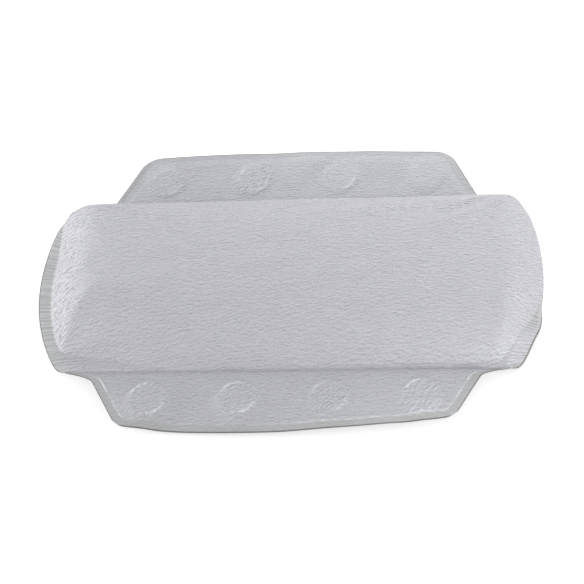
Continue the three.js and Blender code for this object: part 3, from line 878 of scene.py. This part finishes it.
def new_material(name):
    """An empty node material with a Principled shader, and its tree."""
    material = bpy.data.materials.new(name)
    material.use_nodes = True
    return material, material.node_tree, material.node_tree.nodes["Principled BSDF"]


def set_shader(tree, shader, **inputs):
    """Values or links for a shader's inputs, named with underscores for spaces."""
    for name, value in inputs.items():
        put(tree, shader.inputs[name.replace("_", " ")], value)


def grain_node(tree, coordinates, stretch, grain, mottle):
    """The shared grain placed in a material, on stretched coordinates."""
    mapping = add_node(tree, "ShaderNodeMapping", {"Vector": coordinates, "Scale": stretch})
    inputs = {"Vector": mapping.outputs["Vector"], "Grain": grain, "Mottle": mottle}
    return add_node(tree, "ShaderNodeGroup", inputs, node_tree=grain_group())


def add_bump(tree, shader, height, strength, distance):
    """A bump from a height into a shader's normal. strength is a number or a socket."""
    inputs = {"Height": height, "Strength": strength, "Distance": distance}
    bump = add_node(tree, "ShaderNodeBump", inputs)
    put(tree, shader.inputs["Normal"], bump.outputs["Normal"])


def crepe_group():
    """Shared crepe emboss: short bands across the map, broken up by finer grain, as a height round 0.5, and
    as a tone that paints light on the bands and shade between them.
    """
    found = bpy.data.node_groups.get("crepe_emboss")
    if found:
        return found
    group, given, result = new_group("crepe_emboss", [("Vector", "NodeSocketVector")])
    place = given.outputs["Vector"]
    inputs = {"Vector": place, "Scale": 1.0, "Frequency": 1.0, "Anisotropy": BAND_EVENNESS}
    inputs["Orientation"] = math.radians(90.0)
    bands = add_node(group, "ShaderNodeTexGabor", inputs, gabor_type="2D")
    grain = noise(group, place, BAND_GRAIN, 1.0, 0.5)
    both = add_node(group, "ShaderNodeMix", {"Factor": GRAIN_SHARE, 2: bands.outputs["Value"], 3: grain})
    put(group, result.inputs["Height"], both.outputs[0])
    put(group, result.inputs["Tone"], ranged(group, both.outputs[0], *NOISE_RANGE, *BAND_SHADING))
    return group


def vinyl_material(name, face, vinyl, roughness, emboss_depth):
    """Soft vinyl: crepe emboss on the sheet's own map with painted light and shade on its bands, smoother in
    the welds, painted shade on cut edges, and tones from the shade mask, which are mostly painted light and
    shade.
    """
    found = bpy.data.materials.get(name)
    if found:
        return found
    material, tree, shader = new_material(name)
    sheet_map = add_node(tree, "ShaderNodeUVMap", uv_map="sheet").outputs["UV"]
    weld, cut, shade, share = (
        add_node(tree, "ShaderNodeAttribute", attribute_name=mask).outputs["Fac"]
        for mask in ("weld", "cut", "shade", "emboss")
    )
    stretch = (1.0 / vinyl.run, 1.0 / vinyl.pitch, 1.0)
    place = add_node(tree, "ShaderNodeMapping", {"Vector": sheet_map, "Scale": stretch})
    emboss = add_node(tree, "ShaderNodeGroup", {"Vector": place.outputs["Vector"]}, node_tree=crepe_group())
    clouds = grain_node(tree, sheet_map, (1.0, 1.0, 1.0), 900.0, CLOUD_SCALE)
    pressed = mixed(tree, weld, face, vinyl.weld)
    # Painted shade along the cut edges
    shaded_edges = mixed(tree, ranged(tree, cut, *CUT_SHADE_RANGE), pressed, vinyl.cut)
    # Painted light and shade of the emboss: its bands lighten and darken the colour as far as the emboss
    # share gives
    ridge_shading = mixed(tree, share, (1.0, 1.0, 1.0), emboss.outputs["Tone"])
    toned = multiplied(tree, multiplied(tree, shaded_edges, clouds.outputs["Tone"]), ridge_shading)
    most = TONE_STEPS * TONE_STEP
    tone = ranged(tree, shade, -TONE_STEPS, TONE_STEPS, 1.0 - most, 1.0 + most)
    set_shader(
        tree,
        shader,
        Base_Color=multiplied(tree, toned, tone),
        Roughness=ranged(tree, weld, 0.0, 1.0, roughness, roughness - WELD_POLISH),
        Specular_IOR_Level=0.4,
    )
    add_bump(tree, shader, emboss.outputs["Height"], share, emboss_depth)
    return material


def back_vinyl(vinyl):
    """The vinyl of the back plies, with a shallower emboss."""
    return vinyl_material("plain_vinyl", vinyl.back, vinyl, BACK_ROUGHNESS, BACK_EMBOSS * vinyl.depth)


def foam_material(vinyl):
    """Open-cell foam: small round cells as a bump, and a slow yellowing."""
    material, tree, shader = new_material("foam_cells")
    place = add_node(tree, "ShaderNodeTexCoord").outputs["Object"]
    foam_cells = add_node(tree, "ShaderNodeTexVoronoi", {"Vector": place, "Scale": 900.0})
    grain = grain_node(tree, place, (60.0, 60.0, 60.0), 8.0, 0.4)
    yellowed = (vinyl.foam[0], vinyl.foam[1] * 0.95, vinyl.foam[2] * 0.85)
    tint = mixed(tree, grain.outputs["Height"], vinyl.foam, yellowed)
    set_shader(tree, shader, Base_Color=tint, Roughness=0.95)
    add_bump(tree, shader, foam_cells.outputs["Distance"], 0.7, 0.0004)
    return material


def cup_material(vinyl):
    """Soft clear plastic with a faint moulded grain."""
    found = bpy.data.materials.get("clear_soft_plastic")
    if found:
        return found
    material, tree, shader = new_material("clear_soft_plastic")
    place = add_node(tree, "ShaderNodeTexCoord").outputs["Object"]
    grain = grain_node(tree, place, (400.0, 400.0, 400.0), 1.0, 0.12)
    set_shader(
        tree,
        shader,
        Base_Color=(*vinyl.cup, 1.0),
        Transmission_Weight=0.8,
        IOR=1.53,
        Roughness=ranged(tree, grain.outputs["Height"], 0.0, 1.0, *CUP_HAZE),
    )
    add_bump(tree, shader, grain.outputs["Height"], 0.15, 0.0001)
    return material


class BATHPILLOW_OT_front_cover(bpy.types.Operator):
    """Build the embossed front cover over the foam"""

    bl_idname = "bathpillow.front_cover"
    bl_label = "Front cover"

    def execute(self, context):
        settings = context.scene.bath_pillow
        vinyl = settings.vinyl
        sheet, points, pressed = front_cover_points(settings.body, vinyl)
        material = vinyl_material("crepe_vinyl", vinyl.face, vinyl, FRONT_ROUGHNESS, vinyl.depth)
        weld = rim_weld(settings.body, settings.flap, sheet)
        # Painted shade in the fold between the stuffing and the right rim, over the right rim's smooth
        # stretch
        rim_fold_shade = np.where(sheet.along > 0.0, RIGHT_RIM_FOLD_SHADE * weld, 0.0)
        masks = {
            "weld": weld,
            "cut": cut_edge_shade(sheet, settings.flap),
            # Painted shade in the right rim's fold and painted light and shade along the pressed lines
            "shade": rim_fold_shade + pressed_shade(sheet, pressed),
            "emboss": emboss_strength(vinyl, sheet, weld),
        }
        across = sheet.across + fanned(vinyl, sheet.along) + end_fan(vinyl, sheet)
        along = drawn_out(vinyl, sheet)
        piece = sheet_piece("front_skin", points, FRONT_SKIP, material, masks, along, across)
        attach(piece, "pillow")
        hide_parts("front_cover")
        return {"FINISHED"}


class BATHPILLOW_OT_back_cover(bpy.types.Operator):
    """Build the back cover, a shallow tray behind the foam"""

    bl_idname = "bathpillow.back_cover"
    bl_label = "Back cover"

    def execute(self, context):
        settings = context.scene.bath_pillow
        body, vinyl = settings.body, settings.vinyl
        level = BACK_HIGH.z - VINYL
        sheet = BodySheet(
            body,
            (HALF_LENGTH, HALF_WIDTH),
            (body.end_rim, body.side_rim),
            back_slopes(body),
            level - BACK_LOW.z,
            BACK_COLUMNS,
            BACK_ROWS,
        )
        points = sheet.crowned(level, -1.0, 0.0)
        turn_rims(body, sheet, points)
        points[..., 2] += vinyl.unevenness * (slow_waves(sheet, seed=22) + ONE_SIDED) * sheet.lift
        points[..., 2] = np.maximum(points[..., 2], BACK_LOW.z)
        turned = points[::-1]
        material = back_vinyl(vinyl)
        weld = rim_weld(body, settings.flap, sheet)
        masks = {
            "weld": weld[::-1],
            "cut": cut_edge_shade(sheet, settings.flap)[::-1],
            "shade": np.zeros_like(sheet.lift),
            "emboss": vinyl.face_share * (1.0 - WELD_FLATNESS * weld)[::-1],
        }
        piece = sheet_piece(
            "back_skin", turned, BACK_SKIP, material, masks, sheet.along[::-1], sheet.across[::-1]
        )
        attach(piece, "pillow")
        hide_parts("back_cover")
        return {"FINISHED"}


class BATHPILLOW_OT_foam_core(bpy.types.Operator):
    """Build the foam slab inside the covers"""

    bl_idname = "bathpillow.foam_core"
    bl_label = "Foam core"

    def execute(self, context):
        settings = context.scene.bath_pillow
        body = settings.body
        gap = body.foam_gap
        reach = (FOAM_HIGH.x - gap, FOAM_HIGH.y - gap)
        halves = {}
        for side, level, slopes, foot in (
            ("front", FOAM_HIGH.z - gap, front_slopes(body), body.left_foot),
            ("back", FOAM_LOW.z + gap, back_slopes(body), 0.0),
        ):
            sheet = BodySheet(
                body,
                reach,
                (0.0, 0.0),
                slopes,
                abs(level - FOLD_LEVEL),
                FOAM_COLUMNS,
                FOAM_ROWS,
                corner=body.foam_corner,
                foot=foot,
            )
            halves[side] = sheet.crowned(FOLD_LEVEL, math.copysign(1.0, level - FOLD_LEVEL), 0.0)
        front, back = halves["front"], halves["back"]
        back[0], back[-1] = front[0], front[-1]
        back[:, 0], back[:, -1] = front[:, 0], front[:, -1]
        back[..., 2] -= VINYL
        quads, triangles = closed_sheet(front, back)
        vertices = np.concatenate([front.reshape(-1, 3), back.reshape(-1, 3)])
        faces = quads.tolist() + triangles.tolist()
        piece = new_piece("foam_slab", vertices, faces, foam_material(settings.vinyl))
        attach(piece, "pillow")
        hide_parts("foam_core")
        return {"FINISHED"}


class FlapSheet:
    """A flap lying flat, as a grid from the body's edge out to the tip: slanted sides that flare into the
    body's edge, a bowed tip edge and round tip corners.

    inside is the distance from the free edges, measured so that the weld is one band wide, along_tip is 1
    nearer to the tip edge than to the sides, out is the way from the fold, and edge the way to the cut."""

    def __init__(self, flap, side):
        direction = FLAPS[side]
        self.root, self.tip = flap_widths(flap, side)
        self.flare = root_flare(flap, side)
        start = HALF_WIDTH - FOLD_Y
        share, walk = np.meshgrid(np.linspace(-1.0, 1.0, FLAP_COLUMNS), np.linspace(0.0, 1.0, FLAP_ROWS))
        bow, peak = tip_bow(flap, side)
        reach = flap.depth - bow * (share - peak) ** 2
        out = start + (reach - start) * walk
        near_side = self.half_width(flap, out) * (1.0 - np.abs(share))
        near_tip = reach - out
        corner = flap.upper_corner if side == "upper" else flap.lower_corner
        soft = WELD_CORNER_SOFTNESS
        from_tip = near_tip + flap.weld_band - flap.tip_band
        self.inside = -soft * np.log(np.exp(-near_side / soft) + np.exp(-from_tip / soft))
        self.along_tip = ramp(near_side - from_tip, -TIP_SOFTNESS, TIP_SOFTNESS)
        near_side, near_tip = round_corner(near_side, near_tip, corner)
        self.out = reach - near_tip
        self.x = direction * np.sign(share) * (self.half_width(flap, self.out) - near_side)
        self.y = direction * (FOLD_Y + self.out)
        self.edge = np.minimum(near_side, near_tip)

    def half_width(self, flap, out):
        """Half the flap's width at a distance from the fold: a straight taper and a flare at the root."""
        taper = (self.tip - self.root) / 2.0 / flap.depth
        flare = self.flare * (1.0 - np.clip(out / flap.root_fillet, 0.0, 1.0)) ** 2
        return self.root / 2.0 + taper * np.clip(out, 0.0, None) + flare


def flap_widths(flap, side):
    """Root and tip width of a flap."""
    if side == "upper":
        return flap.upper_root, flap.upper_tip
    return flap.lower_root, flap.lower_tip


def root_flare(flap, side):
    """How far the fillets at a flap's root widen it there."""
    return flap.upper_flare if side == "upper" else flap.lower_flare


def tip_bow(flap, side):
    """Bow of a flap's tip edge, and where it is furthest out, as a share of half the width."""
    if side == "upper":
        return flap.upper_bow, -flap.upper_peak
    return flap.lower_bow, flap.lower_peak


def cup_places(side):
    """Plan places of the cups on one flap, from their swivels."""
    names = ["cup_%s_%d_swivel" % (side, number + 1) for number in range(CUPS_PER_FLAP)]
    return [JOINTS[name]["pos_m"][:2] for name in names]


# How the tip of each flap lies: lift of the edge, round a place along it, over a width
TIP_LIE = {
    "upper": ((-0.110, 0.030, -0.0010), (0.010, 0.030, 0.0010)),
    "lower": ((-0.062, 0.085, -0.0075), (0.108, 0.022, -0.0040)),
}


def flap_lie(side, flap, sheet, corner_sag):
    """How far a flap's plies rise from flat: the lie of its tip, growing with the square of the way out,
    nothing over the cups, which hold the plies, and a sag at the lower right root, as the body has it."""
    out = np.clip(sheet.out / flap.depth, 0.0, 1.0) ** 2
    lift = sum(height * bell(sheet.x - place, width) for place, width, height in TIP_LIE[side])
    ripple = crinkle(sheet.x, sheet.y, RIPPLE_RUN, RIPPLE_PITCH, seed=31 + (side == "lower"))
    away = np.min([np.hypot(sheet.x - x, sheet.y - y) for x, y in cup_places(side)], axis=0)
    sag = corner_sag * corner_hang(sheet.x) if side == "lower" else 0.0
    return (lift + RIPPLE_HEIGHT * ripple) * out * ramp(away, *CUP_HOLD) - sag


# How clearly each cup's head shows through its flap, in height and in painted light and shade, from the left:
# the bead on its near side and on its far side, and the crumpled ply on it
HEAD_MARKS = {
    "upper": ((0.45, 0.40, 1.2), (0.45, 0.40, 1.2), (0.20, 0.70, 0.5), (0.05, 0.05, 0.3)),
    "lower": ((0.80, 0.85, 0.9), (0.80, 0.95, 0.9), (0.40, 0.40, 1.3), (1.00, 0.45, 1.3)),
}


def disc_marks(side, flap, sheet):
    """Rounds of the front ply over the cups' heads, as heights and tones: crumpled over the head, with a bead
    on two sides that fades out between them, and small radial puckers outside it. The tones are painted light
    and shade: a painted highlight on the bead, a little painted light on the round, and painted light and
    shade on the crumples."""
    size, fall = HEAD_ROUNDS[side]
    height, tone = np.zeros_like(sheet.x), np.zeros_like(sheet.x)
    for number, (x, y) in enumerate(cup_places(side)):
        radius = np.hypot(sheet.x - x, sheet.y - y)
        turn = np.arctan2(sheet.y - y, sheet.x - x)
        draw = np.random.default_rng(41 + number + 10 * (side == "lower"))
        first = draw.normal(HEAD_BEAD_TURN, HEAD_BEAD_TURN_SPREAD)
        second = draw.uniform(0.0, 2.0 * np.pi)
        near, far, crumpled = HEAD_MARKS[side][number]
        edge = radius - size * flap.disc_radius
        crisp = 0.5 + 0.5 * np.cos(2.0 * (turn - first))
        cap = 1.0 - ramp(edge, 0.0, flap.disc_edge * (fall + SOFT_FALL * (1.0 - crisp)))
        ragged = crinkle(radius, turn * flap.disc_radius, RAGGED_RUN, RAGGED_PITCH, seed=91 + number)
        strength = (RAGGED_MEAN + RAGGED_SPREAD * ragged) * np.where(np.cos(turn - first) > 0.0, near, far)
        bead = bell(edge - HEAD_BEAD_PLACE, HEAD_BEAD_WIDTH) * crisp**2 * strength
        pleats = np.cos(HEAD_PLEATS * turn + 2.0 * np.sin(3.0 * turn + second))
        puckers = 0.5 * (near + far) * pleats * bell(edge - flap.disc_edge, PUCKER_WIDTH)
        slanted = (sheet.x + sheet.y, sheet.y - sheet.x)
        crumple = crumpled * crinkle(*slanted, CRUMPLE_RUN, CRUMPLE_PITCH, seed=81 + number)
        height += flap.disc_raise * cap + HEAD_BEAD_HEIGHT * bead + PUCKER_HEIGHT * puckers
        height += CRUMPLE_HEIGHT * (crumple + ONE_SIDED) * cap
        # Painted highlight on the bead, painted light on the round and painted light and shade on the
        # crumples
        tone += HEAD_BEAD_HIGHLIGHT * bead + (HEAD_ROUND_LIGHT + CRUMPLE_SHADING * crumple) * cap
    return height, tone


def weld_bead(side, flap, sheet):
    """The bead along the inner side of a flap's weld: a narrow ridge that comes and goes along the edge, is
    faint on the upper flap, and clearer towards the right along the lower flap's tip."""
    breaks = crinkle(sheet.y, sheet.x, BREAK_RUN, BREAK_PITCH, seed=71 + (side == "lower"))
    broken = smooth(BREAK_MEAN + BREAK_SPREAD * breaks)
    ridge = bell(sheet.inside - flap.weld_band - WELD_BEAD_PLACE, WELD_BEAD_WIDTH)
    on_tip = FAINT_BEAD + TIP_BEAD_GAIN * ramp(sheet.x, *TIP_BEAD_LENGTHS)
    clear = FAINT_BEAD if side == "upper" else 1.0 + (on_tip - 1.0) * sheet.along_tip
    return clear * ridge * (0.5 + 0.5 * broken) * ramp(sheet.out, 0.0, BEAD_START)


def side_lines(side, sheet):
    """Two thin lines pressed along the upper flap's left side by a second pass of the welding bar."""
    if side == "lower":
        return np.zeros_like(sheet.x)
    lines = sum(strength * bell(sheet.inside - place, SIDE_LINE_WIDTH) for place, strength in SIDE_LINES)
    return lines * ramp(sheet.x, *SIDE_LINE_LENGTHS) * ramp(sheet.out, *SIDE_LINE_OUT)


def flap_shade(side, sheet, free, bead, lines):
    """Tone of a flap: a painted highlight along the weld's bead, darker in the weld, painted shade in its
    pressed lines and the fold, and painted light that makes it paler towards the right."""
    tone, gain, start, end = FLAP_PAINTED_LIGHT[side]
    painted_light = tone + gain * ramp(sheet.x, start, end)
    # Painted shade in the crease along the fold
    fold = bell(sheet.out, FOLD_WIDTH)
    return WELD_BEAD_HIGHLIGHT * bead + SIDE_LINE_SHADE * lines - (1.0 - free) - fold + painted_light


def weld_free(flap, sheet):
    """0 in a flap's weld and 1 inside it."""
    return ramp(sheet.inside, flap.weld_band, flap.weld_band + WELD_STEP)


class BATHPILLOW_OT_flap_front_plies(bpy.types.Operator):
    """Build the embossed front ply of both flaps"""

    bl_idname = "bathpillow.flap_front_plies"
    bl_label = "Flap front plies"

    def execute(self, context):
        settings = context.scene.bath_pillow
        flap, vinyl = settings.flap, settings.vinyl
        material = vinyl_material("flap_vinyl", vinyl.flap, vinyl, FRONT_ROUGHNESS, vinyl.depth)
        for side, direction in FLAPS.items():
            sheet = FlapSheet(flap, side)
            free = weld_free(flap, sheet)
            puff = ramp(sheet.inside, flap.weld_band, flap.weld_band + PUFF_RISE)
            puff *= ramp(sheet.out, 0.0, PUFF_START)
            discs, disc_shade = disc_marks(side, flap, sheet)
            bead = weld_bead(side, flap, sheet)
            lines = side_lines(side, sheet)
            raised = np.maximum(flap.puff * puff, discs) + flap.weld_lip * bead - SIDE_LINE_DEPTH * lines
            raised -= flap.crease * bell(sheet.out - CREASE_PLACE, CREASE_WIDTH)
            height = WELD_LEVEL + flap_lie(side, flap, sheet, settings.body.corner_sag) + raised
            points = np.stack([sheet.x, sheet.y, height], axis=-1)
            masks = {
                "weld": WELD_LOOK[side] * (1.0 - free),
                "cut": cut_shade_line(sheet.edge),
                # The shade mask: painted light and shade of the heads, the weld's bead, the pressed lines,
                # the fold and the flap's right side, and the weld's own darker tone
                "shade": disc_shade + flap_shade(side, sheet, free, bead, lines),
                "emboss": vinyl.face_share * (WELD_EMBOSS + FREE_EMBOSS * free),
            }
            across = sheet.y + fanned(vinyl, sheet.x)
            piece = sheet_piece(side + "_flap_front", points, 1, material, masks, sheet.x, across)
            finish_flap_ply(piece, side, "front")
        return {"FINISHED"}


class BATHPILLOW_OT_flap_back_plies(bpy.types.Operator):
    """Build the back ply of both flaps, with its punched holes"""

    bl_idname = "bathpillow.flap_back_plies"
    bl_label = "Flap back plies"

    def execute(self, context):
        settings = context.scene.bath_pillow
        flap, vinyl = settings.flap, settings.vinyl
        material = back_vinyl(vinyl)
        for side, direction in FLAPS.items():
            sheet = FlapSheet(flap, side)
            free = weld_free(flap, sheet)
            holes = np.zeros(sheet.x.shape, dtype=bool)
            for x, y in cup_places(side):
                holes |= np.hypot(sheet.x - x, sheet.y - y) < flap.hole + HOLE_MARGIN
            height = PLY_LOW.z + flap_lie(side, flap, sheet, settings.body.corner_sag)
            points = np.stack([sheet.x, sheet.y, height], axis=-1)[::-1]
            masks = {
                "weld": 1.0 - free[::-1],
                "cut": cut_shade_line(sheet.edge)[::-1],
                "shade": np.zeros_like(free),
                "emboss": vinyl.face_share * (1.0 - WELD_FLATNESS * (1.0 - free))[::-1],
            }
            piece = sheet_piece(
                side + "_flap_back", points, 1, material, masks, sheet.x[::-1], sheet.y[::-1], holes[::-1]
            )
            finish_flap_ply(piece, side, "back")
        return {"FINISHED"}


def finish_flap_ply(piece, side, ply):
    """Bakes a flap's ply into place and hides the imported part that it replaces."""
    node = "%s_flap_%s_ply" % (side, ply)
    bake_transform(piece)
    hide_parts(node)


def curve_points(start, control, end):
    """Points of a quadratic curve from start to end that leaves towards the control point."""
    t = np.linspace(0.0, 1.0, CURVE_STEPS)[:, None]
    start, control, end = np.array(start), np.array(control), np.array(end)
    return (1.0 - t) ** 2 * start + 2.0 * t * (1.0 - t) * control + t**2 * end


def rounded(corner, before, after, radius):
    """A corner of a profile as a small curve between points a radius before and after it."""
    corner, before, after = np.array(corner), np.array(before), np.array(after)
    start = corner + radius * (before - corner) / np.linalg.norm(before - corner)
    end = corner + radius * (after - corner) / np.linalg.norm(after - corner)
    return curve_points(start, corner, end)[::4]


def cup_profile(cup):
    """Radius and height from the roof of the hollow, round the rim and up the bell to the head's top."""
    edge = cup.edge_round
    wall_top = cup.height - cup.shoulder_height
    head_high = cup.head_low + cup.head_thickness
    hollow_end = (cup.radius - cup.land, 0.0)
    rim_low, rim_high = (cup.radius, 0.0), (cup.radius, cup.lip)
    bell_foot = (cup.shoulder, wall_top)
    shoulder_edge = (cup.shoulder, cup.height)
    neck_low, neck_high = (cup.neck, cup.height), (cup.neck, cup.head_low)
    head_under, head_top = (cup.head, cup.head_low), (cup.head, head_high)
    return np.concatenate(
        [
            curve_points((0.0, cup.hollow), (cup.hollow_fullness, cup.hollow), hollow_end),
            rounded(rim_low, hollow_end, rim_high, edge),
            curve_points(rim_high, (cup.bell_fullness, wall_top), bell_foot)[1:-1],
            rounded(bell_foot, (cup.shoulder + edge, wall_top), shoulder_edge, edge),
            rounded(shoulder_edge, bell_foot, neck_low, edge),
            rounded(neck_low, shoulder_edge, neck_high, edge),
            rounded(neck_high, neck_low, head_under, edge),
            rounded(head_under, neck_high, head_top, edge),
            rounded(head_top, head_under, (0.0, head_high), edge),
            [(0.0, head_high)],
        ]
    )


def turned(profile, centre):
    """A closed body turned about a vertical axis: rings of the profile's points, and a point per pole."""
    turn = np.linspace(0.0, 2.0 * np.pi, CUP_SIDES, endpoint=False)
    radius, height = profile[1:-1, 0, None], profile[1:-1, 1, None]
    rings = np.stack(
        [centre[0] + radius * np.cos(turn), centre[1] + radius * np.sin(turn), height + 0.0 * turn], axis=-1
    )
    poles = [[centre[0], centre[1], profile[0, 1]], [centre[0], centre[1], profile[-1, 1]]]
    vertices = np.concatenate([rings.reshape(-1, 3), poles])
    count = rings.shape[0]
    index = np.arange(count * CUP_SIDES).reshape(count, CUP_SIDES)
    wrapped = np.concatenate([index, index[:, :1]], axis=1)
    first, last = count * CUP_SIDES, count * CUP_SIDES + 1
    start = np.stack([np.full(CUP_SIDES, first), wrapped[0, 1:], wrapped[0, :-1]], axis=1)
    end = np.stack([np.full(CUP_SIDES, last), wrapped[-1, :-1], wrapped[-1, 1:]], axis=1)
    return vertices, cells(wrapped).tolist() + start.tolist() + end.tolist()


class BATHPILLOW_OT_suction_cups(bpy.types.Operator):
    """Build the eight moulded suction cups"""

    bl_idname = "bathpillow.suction_cups"
    bl_label = "Suction cups"

    def execute(self, context):
        settings = context.scene.bath_pillow
        profile = cup_profile(settings.cup)
        material = cup_material(settings.vinyl)
        for side in FLAPS:
            for number, place in enumerate(cup_places(side), start=1):
                vertices, faces = turned(profile, place)
                node = "suction_cup_%s_%d" % (side, number)
                piece = new_piece("%s_cup_%d" % (side, number), vertices, faces, material)
                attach(piece, node)
                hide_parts(node)
        return {"FINISHED"}


def camera_axes(studio):
    """Right, up and back directions of the camera: azimuth and elevation give where it stands, and the roll
    turns it about its line of sight."""
    east, height = math.sin(studio.azimuth), math.sin(studio.elevation)
    north, level = math.cos(studio.azimuth), math.cos(studio.elevation)
    back = Vector((east * level, -north * level, height))
    right = Vector((north, east, 0.0))
    up = back.cross(right)
    cosine, sine = math.cos(studio.roll), math.sin(studio.roll)
    return cosine * right - sine * up, sine * right + cosine * up, back


def white_to_camera(tree, background):
    """Strength of a world that is white to the camera, in reflections and through clear plastic."""
    rays = add_node(tree, "ShaderNodeLightPath").outputs
    seen = {0: rays["Is Camera Ray"], 1: rays["Is Glossy Ray"]}
    seen = add_node(tree, "ShaderNodeMath", seen, operation="MAXIMUM").outputs[0]
    seen_through = {0: seen, 1: rays["Is Transmission Ray"]}
    seen_through = add_node(tree, "ShaderNodeMath", seen_through, operation="MAXIMUM").outputs[0]
    return ranged(tree, seen_through, 0.0, 1.0, background, 1.0)


def floor_material(glow):
    """A white floor that takes the pillow's shadow, with a little glow where the camera sees it."""
    material, tree, shader = new_material("studio_floor")
    seen = add_node(tree, "ShaderNodeLightPath").outputs["Is Camera Ray"]
    strength = add_node(tree, "ShaderNodeMath", {0: seen, 1: glow}, operation="MULTIPLY")
    set_shader(
        tree,
        shader,
        Base_Color=(0.9, 0.9, 0.9, 1.0),
        Roughness=0.9,
        Specular_IOR_Level=0.0,
        Emission_Color=(1.0, 1.0, 1.0, 1.0),
        Emission_Strength=strength.outputs[0],
    )
    return material


def add_lamp(name, place, power, size):
    """A square soft lamp that looks at the pillow and isn't seen itself."""
    light = bpy.data.lights.new(name, "AREA")
    light.energy = power
    light.size = size
    lamp = bpy.data.objects.new(name, light)
    turn = Vector(place).to_track_quat("Z", "Y").to_matrix().to_4x4()
    lamp.matrix_world = Matrix.Translation(place) @ turn
    lamp.visible_camera = False
    bpy.context.scene.collection.objects.link(lamp)


class BATHPILLOW_OT_studio(bpy.types.Operator):
    """Set up the floor, the lamps, the white surroundings and the camera"""

    bl_idname = "bathpillow.studio"
    bl_label = "Studio"

    def execute(self, context):
        scene = context.scene
        studio = scene.bath_pillow.studio
        corners = FLOOR_REACH * np.array([(-1, -1, 0), (1, -1, 0), (1, 1, 0), (-1, 1, 0)])
        material = floor_material(studio.floor_glow)
        floor = new_piece("studio_floor", corners, [(0, 1, 2, 3)], material)
        world = bpy.data.worlds.new("studio_world")
        world.use_nodes = True
        scene.world = world
        surround = world.node_tree.nodes["Background"]
        surround.inputs["Color"].default_value = (1.0, 1.0, 1.0, 1.0)
        strength = white_to_camera(world.node_tree, studio.ambient)
        world.node_tree.links.new(strength, surround.inputs["Strength"])
        for name, (place, size) in LAMPS.items():
            add_lamp(name + "_lamp", place, getattr(studio, name + "_light"), size)
        right, up, back = camera_axes(studio)
        middle = Vector((0.0, 0.0, AIM_LEVEL)) + studio.aim_right * right + studio.aim_up * up
        lens = bpy.data.cameras.new("studio_camera")
        lens.lens = studio.lens
        lens.sensor_width = 36.0
        camera = bpy.data.objects.new("studio_camera", lens)
        axes = Matrix((right, up, back)).transposed().to_4x4()
        camera.matrix_world = Matrix.Translation(middle + studio.distance * back) @ axes
        scene.collection.objects.link(camera)
        scene.camera = camera
        scene.view_settings.view_transform = "Standard"
        return {"FINISHED"}


class BATHPILLOW_PT_panel(bpy.types.Panel):
    """Lists the pieces of the bath pillow"""

    bl_idname = "BATHPILLOW_PT_panel"
    bl_label = "Bath Pillow"
    bl_space_type = "VIEW_3D"
    bl_region_type = "UI"
    bl_category = "Bath Pillow"

    def draw(self, context):
        for operator in OPERATORS:
            self.layout.operator(operator.bl_idname)


OPERATORS = (
    BATHPILLOW_OT_studio,
    BATHPILLOW_OT_front_cover,
    BATHPILLOW_OT_back_cover,
    BATHPILLOW_OT_foam_core,
    BATHPILLOW_OT_flap_front_plies,
    BATHPILLOW_OT_flap_back_plies,
    BATHPILLOW_OT_suction_cups,
)
SETTINGS = (BodySizes, FlapSizes, CupSizes, VinylFinish, StudioSettings, BathPillowSettings)
CLASSES = (*SETTINGS, *OPERATORS, BATHPILLOW_PT_panel)


def register():
    for item in CLASSES:
        bpy.utils.register_class(item)
    bpy.types.Scene.bath_pillow = PointerProperty(type=BathPillowSettings)


def unregister():
    del bpy.types.Scene.bath_pillow
    for item in reversed(CLASSES):
        bpy.utils.unregister_class(item)


def main():
    """Builds every piece in order."""
    register()
    bpy.ops.bathpillow.studio()
    bpy.ops.bathpillow.front_cover()
    bpy.ops.bathpillow.back_cover()
    bpy.ops.bathpillow.foam_core()
    bpy.ops.bathpillow.flap_front_plies()
    bpy.ops.bathpillow.flap_back_plies()
    bpy.ops.bathpillow.suction_cups()


if __name__ == "__main__":
    main()
